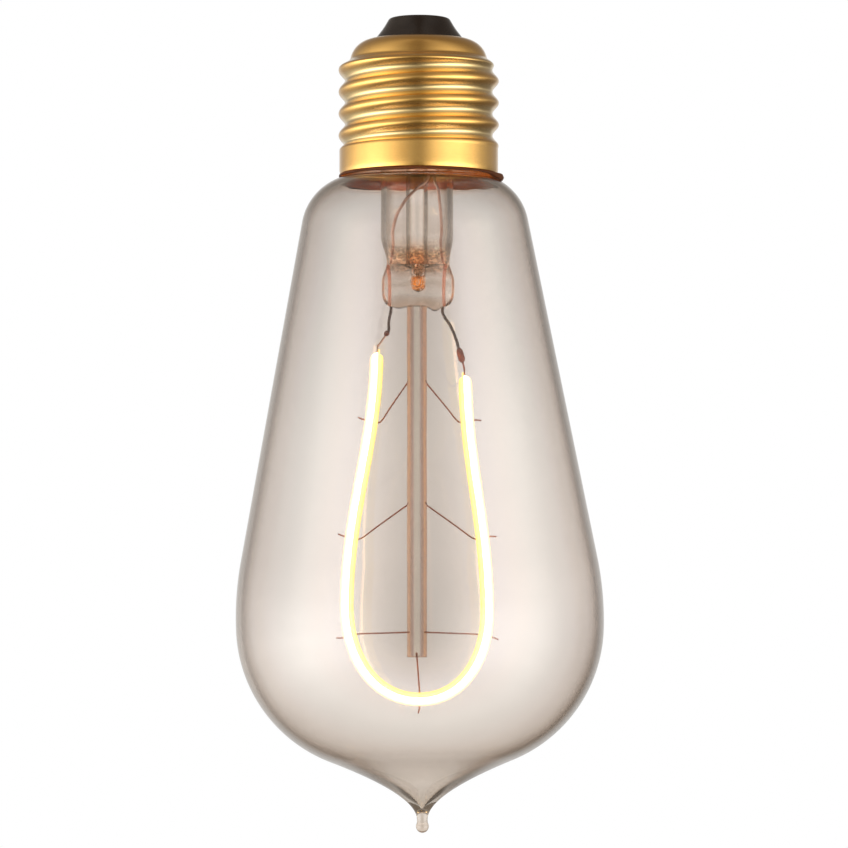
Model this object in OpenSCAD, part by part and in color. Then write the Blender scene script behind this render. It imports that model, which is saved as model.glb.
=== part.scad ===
// Screw-cap lamp with a drawn-tip teardrop bulb and one long bent LED filament.
// The centre contact's face is at the origin, the cap is up (+Z) and the bulb hangs below it.
// Every depth is measured down from that face, and every piece is a node of its own.

/* [Cap shell] */
// Diameter over the thread crests
thread_crest_d = 26.4; // [26.2:0.05:26.45]
// Diameter at the thread roots
thread_root_d = 24.3; // [24.1:0.05:24.5]
// Sharpness of the thread's roots against its crests
thread_root_sharp = 1.4; // [1:0.1:2]
// Rise of the thread in one turn
thread_pitch = 3.62; // [3.55:0.01:3.65]
// Depth at which a thread crest crosses the +X side
thread_crest_depth = 14.2; // [13.2:0.1:15.2]
// Depth at which the thread has run out into the skirt
thread_end_depth = 22.1; // [21.6:0.1:22.5]
// Depth at which the thread starts to rise out of the dome
thread_start_depth = 6.8; // [6.6:0.1:7.1]
// Length over which the thread rises out of the dome
thread_run_in = 1.6; // [1.2:0.1:1.8]
// Length over which the thread fades into the skirt
thread_run_out = 1.3; // [0.8:0.1:2]
// Diameter of the plain skirt
skirt_d = 26.1; // [25.9:0.05:26.4]
// Depth of the skirt's open rim
rim_depth = 26.15; // [25.8:0.05:26.3]
// How far the rim's edge is turned in
rim_turn = 0.12; // [0.05:0.01:0.2]
// Thickness of the cap's brass sheet
shell_wall = 0.3; // [0.2:0.02:0.36]
// Diameter of the hole that the dome leaves round the insulator
lip_d = 15.2; // [14.8:0.1:15.4]
// Depth of the dome's lip
lip_depth = 3.8; // [3.6:0.1:4]
// Radius of the dome between lip and thread
dome_r = 3.7; // [3.55:0.05:3.8]

/* [Insulator and contact] */
// Diameter of the insulator's top
insulator_top_d = 9.9; // [9:0.1:10.4]
// Sideways place of the insulator's top in the dome's hole
insulator_x = 0.1; // [0:0.05:0.3]
// Thickness of the insulator at its middle
insulator_thick = 5.8; // [4.7:0.1:6.2]
// Width of the insulator's foot under the dome
insulator_foot = 1.5; // [1:0.1:2.2]
// Diameter of the contact disc
contact_d = 6.6; // [5.6:0.1:7.6]
// Thickness of the contact disc
contact_thick = 0.2; // [0.15:0.05:0.4]
// Diameter of the contact's barrel
barrel_d = 2.6; // [2.2:0.1:3]
// Bore of the contact's barrel
barrel_bore = 1.8; // [1.6:0.1:1.9]
// Length of barrel that stands out under the insulator
barrel_stand = 0.6; // [0.4:0.1:1]

/* [Glass bulb] */
// Sideways place of the mount in the cap
mount_x = -0.28; // [-0.4:0.02:0]
// Sideways place of the bulb's neck in the cap
neck_x = -0.7; // [-0.75:0.05:0]
// Lean of the bulb against the cap
bulb_lean = 0.7; // [0:0.05:0.75]
// Widest diameter of the bulb
belly_d = 60.2; // [58:0.1:62]
// Depth of the centre of the belly's arc
belly_depth = 99.1; // [98:0.1:100.2]
// Radius of the belly's arc
belly_r = 52; // [48:0.5:56]
// Lean of the bulb's cone against its axis
cone_angle = 10.8; // [10.6:0.05:11]
// Radius of the arc between cone and neck
shoulder_r = 9.2; // [8.8:0.1:9.6]
// Diameter of the neck inside the cap
neck_d = 22.4; // [22.2:0.1:22.5]
// Radius of the hollow corner between neck and shoulder
neck_fillet = 2.4; // [2.2:0.1:2.6]
// Depth of the centre of that corner's arc
neck_corner_depth = 24.5; // [24.4:0.1:24.8]
// Angle past the belly at which the bowl's arc takes over
bowl_turn = 2; // [1:0.5:5]
// Radius of the bowl below the belly
bowl_r = 23.9; // [23.4:0.1:24.2]
// Angle past the belly at which the bowl is drawn in to the tip
draw_angle = 68.5; // [66:0.5:70]
// Reach of the draw's curve along the bowl, as a share of the way to the axis
draw_pull = 1.03; // [0.85:0.01:1.06]
// Reach of the draw's curve up from the tip's neck
tip_pull = 0.9; // [0.5:0.1:2]
// Diameter of the tip's thinnest place
tip_neck_d = 1.8; // [1.5:0.1:1.9]
// Diameter of the bead that closes the tip
tip_bead_d = 2.1; // [2:0.1:2.6]
// Length of solid glass above the tip's thinnest place
tip_solid = 4; // [3.4:0.1:4.6]
// Depth of the tip's end, which is the length of the lamp
lamp_length = 134; // [133.6:0.1:134.6]
// Wall of the bulb
glass_wall = 0.8; // [0.6:0.05:0.9]

/* [Cement] */
// Depth at which the cement starts
cement_top_depth = 22.6; // [22.5:0.1:23.4]
// How far the cement stands out past the skirt
cement_squeeze = 0.35; // [0.2:0.05:0.45]
// Depth of the cement's lower edge
cement_lip_depth = 26.8; // [26.6:0.05:27]

/* [Stem] */
// Depth of the flare's upper face
flare_depth = 20.4; // [19.6:0.1:20.8]
// Diameter of the stem's tube
stem_d = 11.9; // [11.7:0.1:12.4]
// Wall of the stem's tube
stem_wall = 0.9; // [0.7:0.05:0.95]
// Radius of the flare's underside
flare_r = 4.4; // [3.8:0.1:4.8]
// Depth at which the tube starts to flatten
stem_end_depth = 36.3; // [35:0.1:37]
// Depth of the waist between tube and press
waist_depth = 40.6; // [40.4:0.1:40.8]
// Width of the waist
waist_w = 10.3; // [10.3:0.1:10.9]
// Thickness of the waist
waist_t = 5.4; // [5.2:0.1:5.8]
// Width of the press
press_w = 11.9; // [11.5:0.1:12.6]
// Thickness of the press
press_t = 4.4; // [4.2:0.1:5]
// Depth of the press's lower end
press_end_depth = 47.8; // [47:0.1:48.4]
// Height over which the waist widens into the press
press_shoulder = 2.6; // [2:0.1:3]
// How far the press's lower corners round in from its sides
press_corner = 1.1; // [0.6:0.1:1.2]
// How far the press's lower edge rounds in from its faces
press_edge = 0.7; // [0.3:0.1:0.9]
// Height of the press's lower corners
press_corner_h = 2; // [1.2:0.1:2.4]
// Depth of the floor of the stem's hollow
floor_depth = 41; // [40.9:0.1:41.2]
// Diameter of the exhaust tube
exhaust_d = 3.6; // [3.2:0.1:3.7]
// Bore of the exhaust tube
exhaust_bore = 2.4; // [2:0.1:2.6]
// Depth of the exhaust tube's sealed end
exhaust_top_depth = 17; // [16.8:0.1:18.5]
// Diameter of the hole that leads from the exhaust tube into the bulb
blow_hole_d = 2; // [1.6:0.1:2.2]
// Depth of the middle of that hole
blow_hole_depth = 43.8; // [43:0.1:44.4]
// Depth of the bore below the blow hole
bore_sump = 0.5; // [0.2:0.1:0.8]
// Diameter of the glass mount rod
rod_d = 3.3; // [3:0.1:3.6]
// Depth of the mount rod's lower end
rod_end_depth = 105.4; // [104.6:0.1:106]

/* [Lead wires] */
// Distance between the two lead wires in the press
lead_span = 8.5; // [8.4:0.1:8.6]
// Diameter of the lead wires outside the press
lead_d = 0.5; // [0.4:0.05:0.55]
// Diameter of the seal wires in the press
seal_wire_d = 0.5; // [0.4:0.05:0.55]
// Diameter of the inner lead wires
inner_lead_d = 0.5; // [0.4:0.05:0.6]
// Diameter of the filament's tail wires
tail_wire_d = 0.36; // [0.3:0.02:0.44]
// Diameter of the left joint sleeve
left_joint_d = 0.95; // [0.85:0.05:1.1]
// Length of the left joint sleeve
left_joint_len = 1; // [0.8:0.1:1.3]
// Diameter of the right joint sleeve
right_joint_d = 1.2; // [0.95:0.05:1.3]
// Length of the right joint sleeve
right_joint_len = 2.5; // [2:0.1:3]
// Sideways place of the left joint
left_joint_x = -4.95; // [-5.1:0.05:-4.8]
// Depth of the left joint
left_joint_depth = 52.3; // [52.1:0.05:52.5]
// Lean of the left joint against the axis
left_joint_lean = 31; // [26:1:36]
// Sideways place of the right joint
right_joint_x = 7.2; // [7.1:0.05:7.4]
// Depth of the right joint
right_joint_depth = 55.9; // [55.7:0.05:56.1]
// Lean of the right joint against the axis
right_joint_lean = 16; // [12:1:20]

/* [Filament] */
// Distance between the two strands' backing at the widest place
filament_w = 22.4; // [21:0.1:24]
// Sideways place of the left end
left_end_x = -6.3; // [-7.2:0.1:-5.8]
// Depth of the left end
left_end_depth = 55; // [54.6:0.1:55.6]
// Depth at which the left strand is widest
left_belly_depth = 97; // [95:0.5:99]
// Sideways place of the right end
right_end_x = 7.65; // [7:0.05:8.4]
// Depth of the right end
right_end_depth = 58.8; // [58.4:0.1:59.6]
// Depth at which the right strand is widest
right_belly_depth = 98.1; // [96:0.1:100]
// Sideways place of the bend's lowest place
bend_x = 0.4; // [-0.2:0.1:0.8]
// Depth of the bend's lowest place
bend_depth = 112; // [111:0.1:113]
// Width of the filament from front to back
strip_w = 2.6; // [2:0.1:3]
// Thickness of the flexible backing
backing_t = 0.25; // [0.15:0.05:0.35]
// Thickness of the outer phosphor layer
outer_layer_t = 1.4; // [1.1:0.05:1.6]
// Thickness of the inner phosphor layer
inner_layer_t = 0.55; // [0.4:0.05:0.8]
// Bare length of backing outside the outer layer at each end
outer_bare = 0.5; // [0.3:0.1:1]
// Bare length of backing outside the inner layer at each end
inner_bare = 0.8; // [0.3:0.1:1.6]
// Length of a terminal tab
tab_len = 1.3; // [1.1:0.1:1.6]
// Width of a terminal tab
tab_w = 1.6; // [1:0.1:1.9]
// Thickness of a terminal tab
tab_t = 0.25; // [0.2:0.05:0.35]
// Length of one LED chip
chip_len = 1; // [0.6:0.1:1.2]
// Width of one LED chip
chip_w = 0.6; // [0.4:0.05:0.9]
// Thickness of one LED chip
chip_t = 0.2; // [0.15:0.05:0.3]
// Spacing of the chips along the filament
chip_pitch = 2.9; // [2.5:0.1:4]

/* [Supports] */
// Diameter of the support wires
support_d = 0.26; // [0.2:0.02:0.34]
// Depth at which the support wires are sunk in the rod
support_seat = 0.8; // [0.5:0.1:1.1]
// How far the hooks reach past the filament's outer face
hook_reach = 1.2; // [0.9:0.1:1.6]
// Depth on the rod of the upper pair
upper_rod_depth = 60.6; // [59:0.1:62]
// Depth on the filament of the upper pair
upper_hook_depth = 66.6; // [65:0.1:68]
// Depth on the rod of the middle pair
middle_rod_depth = 80.6; // [79:0.1:82]
// Depth on the filament of the middle pair
middle_hook_depth = 85.8; // [84:0.1:88]
// Depth on the rod of the lower pair
lower_rod_depth = 101.3; // [99.5:0.1:102.2]
// Depth on the filament of the lower pair
lower_hook_depth = 101.8; // [100:0.1:103.5]

/* [Driver] */
// Diameter of the driver's board
board_d = 17; // [15:0.5:19]
// Thickness of the driver's board
board_t = 1; // [0.8:0.1:1.2]
// Depth of the board's upper face
board_depth = 14.4; // [13.6:0.1:14.8]
// Diameter of the smoothing capacitor
capacitor_d = 5; // [4:0.5:5.5]
// Height of the smoothing capacitor
capacitor_h = 5; // [4:0.5:5.5]
// Length of the rectifier
rectifier_len = 4.7; // [4:0.1:5.2]
// Width of the rectifier
rectifier_w = 3.9; // [3:0.1:4.2]
// Height of the rectifier
rectifier_h = 1.6; // [1.2:0.1:2.4]
// Length of the current chip
current_chip_len = 4.5; // [3.6:0.1:4.9]
// Width of the current chip
current_chip_w = 2.5; // [2:0.1:3]
// Height of the current chip
current_chip_h = 1.5; // [1:0.1:2]
// Diameter of the fuse resistor
resistor_d = 2.2; // [1.8:0.1:2.6]
// Length of the fuse resistor's body
resistor_len = 5.6; // [4.6:0.1:6]
// Diameter of the hook-up wires
hookup_d = 0.6; // [0.5:0.05:0.8]
// Diameter of the side wire's solder joint
side_solder_d = 1.1; // [1:0.1:1.3]

/* [Fits] */
// Clearance between the cap's shell and what it holds
shell_gap = 0.1; // [0.08:0.01:0.14]
// Clearance between the cement and the glass
cement_gap = 0.05; // [0.03:0.01:0.08]
// Clearance under the flare for the neck's lean
neck_gap = 0.17; // [0.16:0.01:0.2]
// Clearance round a wire in its glass or its sleeve
wire_gap = 0.03; // [0.02:0.01:0.04]
// Clearance round a chip in the outer layer and over a terminal tab
chip_gap = 0.03; // [0.02:0.01:0.05]
// Clearance between a support wire and the filament's back edge
hook_gap = 0.08; // [0.05:0.01:0.15]

/* [Hidden] */

$fn = 48;

// Facets round the threaded shell and steps of the thread in one pitch
shell_facets = 44;
steps_per_pitch = 7;
// Steps round a curve of a glass outline
arc_steps = 8;
// Steps along each quarter of the filament
curve_steps = 14;
// Sides of a bent wire
wire_sides = 8;
// Length over which the filament's direction is taken, either way
heading_reach = 0.4;
// Shortest length between two stops of a band
stop_gap = 0.05;
// How far cutters run past the solid they cut
past = 1;

lip_r = lip_d / 2;
dome_z = -lip_depth - dome_r;
dome_end_r = lip_r + dome_r;
skirt_r = skirt_d / 2;
thread_amp = (thread_crest_d - thread_root_d) / 4;
thread_start_a = asin((-thread_start_depth - dome_z) / dome_r);
thread_len = thread_end_depth - thread_start_depth;
thread_steps = ceil(thread_len / thread_pitch * steps_per_pitch);
shell_bore_r = thread_root_d / 2 - shell_wall;
skirt_bore_r = skirt_r - shell_wall;

insulator_z = -contact_thick;
// Width of the ledge that the insulator's top leaves round its foot where they come closest
insulator_ledge = 0.05;
insulator_under_z = insulator_z - insulator_thick;

board_z = -board_depth;
board_under_z = board_z - board_t;

// A point on a circle in an outline: c is its centre, r its radius and a the angle
function on_circle(c, r, a) = [c[0] + r * cos(a), c[1] + r * sin(a)];
function arc(c, r, a0, a1, n) = [for (i = [0:n]) on_circle(c, r, a0 + (a1 - a0) * i / n)];
function angle_to(a, b) = atan2(b[1] - a[1], b[0] - a[0]);
function unit(v) = v / norm(v);
function reversed(p) = [for (i = [len(p) - 1:-1:0]) p[i]];
function bezier(a, b, c, d, t) =
    a * pow(1 - t, 3) + b * 3 * t * pow(1 - t, 2) + c * 3 * t * t * (1 - t) + d * pow(t, 3);
function ramp(t) = let(u = max(0, min(1, t))) u * u * (3 - 2 * u);

// The bulb's outline is tangent arcs, neck corner, shoulder, cone, belly and bowl, then one curve to the tip
neck_r = neck_d / 2;
belly_c = [belly_d / 2 - belly_r, -belly_depth];
cone_n = on_circle([0, 0], 1, cone_angle);
cone_k = belly_c * cone_n + belly_r;
corner_c = [neck_r + neck_fillet, -neck_corner_depth];
shoulder_out = cone_k - shoulder_r - corner_c * cone_n;
shoulder_down = sqrt(pow(shoulder_r + neck_fillet, 2) - pow(shoulder_out, 2));
shoulder_c = corner_c + cone_n * shoulder_out + on_circle([0, 0], shoulder_down, cone_angle - 90);
corner_a = angle_to(corner_c, shoulder_c) + 360;
bowl_c = on_circle(belly_c, belly_r - bowl_r, -bowl_turn);
bowl_end_u = [-sin(draw_angle), -cos(draw_angle)];
tip_bead_c = [0, -lamp_length + tip_bead_d / 2];
tip_bead_a = acos(tip_neck_d / tip_bead_d);
tip_neck = on_circle(tip_bead_c, tip_bead_d / 2, tip_bead_a);

// The bulb's outline at a depth w inside its outer face, from the neck's corner to the tip's cone
function bulb_wall(w) = concat(
    arc(corner_c, neck_fillet + w, 180, corner_a, arc_steps),
    arc(shoulder_c, shoulder_r - w, corner_a - 180, cone_angle, arc_steps),
    arc(belly_c, belly_r - w, cone_angle, -bowl_turn, arc_steps),
    arc(bowl_c, bowl_r - w, -bowl_turn, -draw_angle, 2 * arc_steps)
);
// The draw: from the bowl's end at a depth w inside the outer face to a last point, which pull leads up from
function draw(w, last, pull) =
    let(first = on_circle(bowl_c, bowl_r - w, -draw_angle))
    let(reach = draw_pull * first[0] / sin(draw_angle))
    [for (i = [1:arc_steps + 4])
        bezier(first, first + bowl_end_u * reach, last + pull, last, i / (arc_steps + 4))];

// The glass sits a little off the cap's axis: the mount beside it, the bulb leaning from its neck
module mount_place() {
    translate([mount_x, 0, 0])
        children();
}
module bulb_place() {
    translate([neck_x, 0, -rim_depth])
        rotate([0, -bulb_lean, 0])
            translate([0, 0, rim_depth])
                children();
}

neck_top_z = -flare_depth - stem_wall - neck_gap;
stem_r = stem_d / 2;
stem_end_z = -stem_end_depth;
floor_z = -floor_depth;
press_end_z = -press_end_depth;
lead_x = lead_span / 2;
rod_r = rod_d / 2;

// The filament's backing follows four Bezier curves through its ends, its two widest places and its bend
left_end = [left_end_x, -left_end_depth];
left_belly = [-filament_w / 2, -left_belly_depth];
bend_low = [bend_x, -bend_depth];
right_belly = [filament_w / 2, -right_belly_depth];
right_end = [right_end_x, -right_end_depth];
function bezier_run(a, b, c, d, first) =
    [for (i = [first:curve_steps]) bezier(a, b, c, d, i / curve_steps)];
// The handles reach this far from the points, as shares of each quarter's height or width
strand_pull = 0.37;
bend_pull_down = 0.5;
bend_pull_side = 0.66;
function strand_handle(end, belly) = [0, (end[1] - belly[1]) * strand_pull];
function bend_handle(belly) = [0, (bend_low[1] - belly[1]) * bend_pull_down];
function bend_side(belly) = [(belly[0] - bend_low[0]) * bend_pull_side, 0];
filament_path = concat(
    bezier_run(left_end, left_end - strand_handle(left_end, left_belly),
        left_belly + strand_handle(left_end, left_belly), left_belly, 0),
    bezier_run(left_belly, left_belly + bend_handle(left_belly),
        bend_low + bend_side(left_belly), bend_low, 1),
    bezier_run(bend_low, bend_low + bend_side(right_belly),
        right_belly + bend_handle(right_belly), right_belly, 1),
    bezier_run(right_belly, right_belly + strand_handle(right_end, right_belly),
        right_end - strand_handle(right_end, right_belly), right_end, 1)
);
path_last = len(filament_path) - 1;
function path_lengths(p, i = 1, sum = 0, out = [0]) =
    i > len(p) - 1 ? out
    : let(s = sum + norm(p[i] - p[i - 1])) path_lengths(p, i + 1, s, concat(out, [s]));
path_s = path_lengths(filament_path);
filament_len = path_s[path_last];
path_x = [for (i = [0:path_last]) [path_s[i], filament_path[i][0]]];
path_z = [for (i = [0:path_last]) [path_s[i], filament_path[i][1]]];
// A place, a direction and the outward side of the backing's outer face, s along it from the left end
function along(s) = [lookup(s, path_x), lookup(s, path_z)];
function heading(s) =
    unit(along(min(s + heading_reach, filament_len)) - along(max(s - heading_reach, 0)));
function outward(s) = let(h = heading(s)) [h[1], -h[0]];
// The band of filament between two offsets from the backing's outer face, from s0 to s1 along it
function band_stops(s0, s1) =
    concat([s0], [for (s = path_s) if (s > s0 + stop_gap && s < s1 - stop_gap) s], [s1]);
function band(s0, s1, o0, o1) =
    let(stops = band_stops(s0, s1))
    concat([for (s = stops) along(s) + outward(s) * o0], reversed([for (s = stops) along(s) + outward(s) * o1]));
// Lengths along the filament at which the left and right strands reach a depth
left_half = [for (i = [0:2 * curve_steps]) [-filament_path[i][1], path_s[i]]];
right_half = [for (i = [path_last:-1:2 * curve_steps]) [-filament_path[i][1], path_s[i]]];
chip_count = floor((filament_len - 2 * outer_bare - 2 * chip_len) / chip_pitch);
chip_start = (filament_len - chip_count * chip_pitch) / 2;

// Bent wires: a ring of points square to the wire at each stop, round a side direction ref
function wire_dir(p, i) =
    i == 0 ? unit(p[1] - p[0])
    : i == len(p) - 1 ? unit(p[i] - p[i - 1])
    : unit(unit(p[i + 1] - p[i]) + unit(p[i] - p[i - 1]));
function wire_ring(p, i, r, ref) =
    let(t = wire_dir(p, i), u = unit(cross(t, ref)), v = cross(t, u))
    [for (k = [0:wire_sides - 1])
        let(a = 360 * k / wire_sides) p[i] + u * (r * cos(a)) + v * (r * sin(a))];
function ring_face(i, k) = let(n = wire_sides, m = (k + 1) % wire_sides)
    [[i * n + k, (i + 1) * n + k, (i + 1) * n + m], [i * n + k, (i + 1) * n + m, i * n + m]];
// A smooth run through points: Catmull-Rom with the ends held
function spline_point(a, b, c, d, t) =
    (b * 2 + (c - a) * t + (a * 2 - b * 5 + c * 4 - d) * t * t + (b * 3 - a - c * 3 + d) * pow(t, 3)) / 2;
function spline(p, steps) = concat(
    [for (i = [0:len(p) - 2], j = [0:steps - 1])
        spline_point(p[max(i - 1, 0)], p[i], p[i + 1], p[min(i + 2, len(p) - 1)], j / steps)],
    [p[len(p) - 1]]
);

// Points of the two joints between the inner leads and the filament's tail wires
left_joint_c = [left_joint_x, 0, -left_joint_depth];
left_joint_n = [-sin(left_joint_lean), 0, -cos(left_joint_lean)];
right_joint_c = [right_joint_x, 0, -right_joint_depth];
right_joint_n = [sin(right_joint_lean), 0, -cos(right_joint_lean)];
// Straight length of wire outside a joint sleeve
joint_straight = 0.2;

// Routes of the lead wires between board, press and joints
left_outer_route = [
    [1.6, -4, board_under_z], [2, -3.3, -21], [1.7, -3, -26.4], [0, -3.1, -28.4], [-1.9, -2.8, -30.6],
    [-3.2, -2, -33], [-3.9, -1, -35.6], [-lead_x + 0.2, -0.3, -38], [-lead_x, 0, floor_z]
];
right_outer_route = [
    [3.4, 0, board_under_z], [3, 0, -22], [2.95, 0, -26.4], [3.5, 0, -28.4],
    [4, 0, -33.5], [lead_x - 0.15, 0, -37.6], [lead_x, 0, floor_z]
];
left_inner_route = [
    [-lead_x, 0, press_end_z], [-lead_x, 0, press_end_z - 1], [-4.55, 0, -50.8],
    left_joint_c - left_joint_n * (left_joint_len / 2 + joint_straight),
    left_joint_c - left_joint_n * wire_gap
];
right_inner_route = [
    [lead_x, 0, press_end_z], [lead_x, 0, press_end_z - 1.2], [5.6, 0, -51.2], [6.45, 0, -53.2],
    right_joint_c - right_joint_n * (right_joint_len / 2 + joint_straight),
    right_joint_c - right_joint_n * wire_gap
];
centre_wire_route = [
    [0, 0, insulator_z - 1], [0, 0, insulator_under_z - 1], [0.3, 0.5, -9.6], [0.4, 0.8, -12], [0.4, 0.8, board_z]
];
side_joint = [0, shell_bore_r - shell_gap - side_solder_d / 2, -10.6];
side_wire_route = [
    [0, 7, board_z], [0, 7.1, -13.2], [0, 8.2, -11.4],
    side_joint - [0, side_solder_d / 2 + 0.4, 0], side_joint - [0, side_solder_d / 4, 0]
];

function lift(p, y = 0) = [p[0], y, p[1]];

module wire(route, d, ref) {
    last = len(route) - 1;
    points = [for (i = [0:last]) each wire_ring(route, i, d / 2, ref)];
    sides = [for (i = [0:last - 1], k = [0:wire_sides - 1]) each ring_face(i, k)];
    start_cap = [[for (k = [0:wire_sides - 1]) k]];
    end_cap = [[for (k = [wire_sides - 1:-1:0]) last * wire_sides + k]];
    polyhedron(points = points, faces = concat(sides, start_cap, end_cap));
}

// A cylinder from point a to point b
module pin(a, b, d) {
    v = b - a;
    translate(a)
        rotate([0, acos(v[2] / norm(v)), atan2(v[1], v[0])])
            cylinder(h = norm(v), d = d);
}

// An outline in the XZ plane, given its thickness front to back
module slab(points, t) {
    rotate([90, 0, 0])
        linear_extrude(height = t, center = true)
            polygon(points);
}

// A thin box on the backing, s along it and from offset o0 to offset o1
module on_strip(s, len, w, o0, o1) {
    h = heading(s);
    c = along(s) + outward(s) * (o0 + o1) / 2;
    translate(lift(c))
        rotate([0, -atan2(h[1], h[0]), 0])
            cube([len, w, o1 - o0], center = true);
}

// Radius of the threaded part at height z and angle a round the axis
function thread_r(z, a) =
    let(phase = 360 * (z + thread_crest_depth) / thread_pitch - a)
    let(wave = thread_crest_d / 2 - 2 * thread_amp * pow((1 - cos(phase)) / 2, thread_root_sharp))
    let(dome = z > dome_z ? lip_r + sqrt(pow(dome_r, 2) - pow(z - dome_z, 2)) : dome_end_r)
    let(enter = ramp((-thread_start_depth - z) / thread_run_in))
    let(leave = ramp((thread_run_out - thread_end_depth - z) / thread_run_out))
    let(rise = dome * (1 - enter) + wave * enter)
    rise * (1 - leave) + skirt_r * leave;
// The shell's section at angle a, at depth w inside its outer face, from lip to rim
function shell_line(a, w) = concat(
    arc([lip_r, dome_z], dome_r - w, 90, thread_start_a, arc_steps),
    [for (i = [1:thread_steps])
        let(z = -thread_start_depth - thread_len * i / thread_steps) [thread_r(z, a) - w, z]],
    [[skirt_r - w, -rim_depth + 2 * shell_wall], [skirt_r - w - rim_turn, -rim_depth]]
);
function shell_loop(a) = concat(shell_line(a, 0), reversed(shell_line(a, shell_wall)));

module screw_shell() {
    loops = [for (j = [0:shell_facets - 1]) shell_loop(360 * j / shell_facets)];
    n = len(loops[0]);
    points = [for (j = [0:shell_facets - 1], q = loops[j])
        let(a = 360 * j / shell_facets) [q[0] * cos(a), q[0] * sin(a), q[1]]];
    faces = [for (j = [0:shell_facets - 1], i = [0:n - 1])
        let(a = j * n, b = (j + 1) % shell_facets * n, k = (i + 1) % n)
        each [[a + i, b + i, b + k], [a + i, b + k, a + k]]];
    color("goldenrod")
        polyhedron(points = points, faces = faces);
}

module insulator() {
    foot_r = dome_end_r - shell_wall - shell_gap;
    edge_r = lip_r - shell_gap;
    seat_z = -lip_depth - shell_wall - shell_gap;
    top_r = edge_r - insulator_x - insulator_ledge;
    color("#2a211c")
        difference() {
            union() {
                rotate_extrude()
                    polygon(concat(
                        [[0, -lip_depth], [edge_r, -lip_depth], [edge_r, seat_z]],
                        arc([lip_r, dome_z], dome_r - shell_wall - shell_gap, 90, 0, arc_steps),
                        [[foot_r - insulator_foot, dome_z], [barrel_d, insulator_under_z], [0, insulator_under_z]]
                    ));
                translate([insulator_x, 0, -lip_depth])
                    cylinder(h = lip_depth + insulator_z, r1 = top_r, d2 = insulator_top_d);
            }
            translate([0, 0, insulator_under_z - past])
                cylinder(h = insulator_thick + 2 * past, d = barrel_d + 2 * wire_gap);
        }
}

module contact_eyelet() {
    color("silver")
        difference() {
            union() {
                translate([0, 0, -contact_thick])
                    cylinder(h = contact_thick, d = contact_d);
                translate([0, 0, insulator_under_z - barrel_stand])
                    cylinder(h = insulator_thick + barrel_stand, d = barrel_d);
            }
            translate([0, 0, insulator_under_z - barrel_stand - past])
                cylinder(h = insulator_thick + barrel_stand + past, d = barrel_bore);
        }
}

// Ring of solder that closes the barrel round the centre wire
module contact_solder() {
    color("lightgray")
        translate([0, 0, insulator_under_z - barrel_stand])
            difference() {
                cylinder(h = barrel_stand, d = barrel_bore);
                translate([0, 0, -past])
                    cylinder(h = barrel_stand + 2 * past, d = hookup_d + 2 * wire_gap);
            }
}

module cap_cement() {
    top_z = -cement_top_depth;
    rim_z = -rim_depth - cement_gap;
    fill_r = skirt_bore_r - rim_turn - cement_gap;
    neck_bore = concat(
        [[0, top_z + past], [neck_r + cement_gap, top_z + past]],
        arc(corner_c, neck_fillet - cement_gap, 180, corner_a, arc_steps),
        arc(shoulder_c, shoulder_r + cement_gap, corner_a - 180, cone_angle, arc_steps),
        [[0, shoulder_c[1]]]
    );
    color("saddlebrown")
        difference() {
            rotate_extrude()
                polygon([
                    [neck_r - past, top_z], [fill_r, top_z], [fill_r, rim_z], [skirt_r + cement_squeeze / 2, rim_z],
                    [skirt_r + cement_squeeze, (rim_z - cement_lip_depth) / 2],
                    [skirt_r, -cement_lip_depth], [neck_r - past, -cement_lip_depth]
                ]);
            bulb_place()
                rotate_extrude()
                    polygon(neck_bore);
        }
}

module glass_envelope() {
    cavity_end = [0, tip_neck[1] + tip_solid];
    outer = concat(
        [[neck_r, neck_top_z]],
        bulb_wall(0),
        draw(0, tip_neck, [0, tip_pull]),
        arc(tip_bead_c, tip_bead_d / 2, tip_bead_a, -90, arc_steps)
    );
    inner = concat([[neck_r - glass_wall, neck_top_z]], bulb_wall(glass_wall),
        draw(glass_wall, cavity_end, [tip_neck_d / 4, tip_pull / 3]));
    color("#f0e8df", 0.35)
        bulb_place()
            rotate_extrude()
                polygon(concat(outer, reversed(inner)));
}

module stem_flare() {
    under_z = -flare_depth - stem_wall;
    bend_c = [stem_r + flare_r, under_z - flare_r];
    color("#e6e2da", 0.5)
        mount_place()
            rotate_extrude()
                polygon(concat(
                    [[neck_r, -flare_depth], [neck_r, under_z]],
                    arc(bend_c, flare_r, 90, 180, arc_steps),
                    [[stem_r, stem_end_z], [stem_r - stem_wall, stem_end_z]],
                    arc(bend_c, flare_r + stem_wall, 180, 90, arc_steps)
                ));
}

// The press is a round bar cut to a front outline and a side outline, and so is the hollow above it
spare = 0.3;
floor_play = 0.15;
press_round = 0.15;
press_top_z = -waist_depth - press_shoulder;
corner_steps = 5;
// One side of an outline's lower corner, wide in x and tall in height, at half width w
function press_edge_arc(w, wide) =
    [for (i = [0:corner_steps])
        let(a = 90 * i / corner_steps)
        [w - wide * (1 - cos(a)), press_end_z + press_corner_h * (1 - sin(a))]];
function both_sides(p) = concat(p, [for (q = reversed(p)) [-q[0], q[1]]]);
press_front = both_sides(concat(
    [[stem_r + spare, stem_end_z + past], [stem_r + spare, stem_end_z], [waist_w / 2, -waist_depth],
        [press_w / 2, press_top_z]],
    press_edge_arc(press_w / 2, press_corner)
));
press_side = both_sides(concat(
    [[stem_r + spare, stem_end_z + past], [stem_r + spare, stem_end_z], [waist_t / 2, -waist_depth],
        [press_t / 2, press_top_z]],
    press_edge_arc(press_t / 2, press_edge)
));
hollow_r = stem_r - stem_wall;
function hollow_outline(floor_half) = both_sides([
    [hollow_r + spare, stem_end_z + 2 * past], [hollow_r + spare, stem_end_z], [floor_half, floor_z]
]);

module cut_to(front, side) {
    intersection() {
        children();
        slab(front, 4 * stem_r);
        rotate([0, 0, 90])
            slab(side, 4 * stem_r);
    }
}

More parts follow.
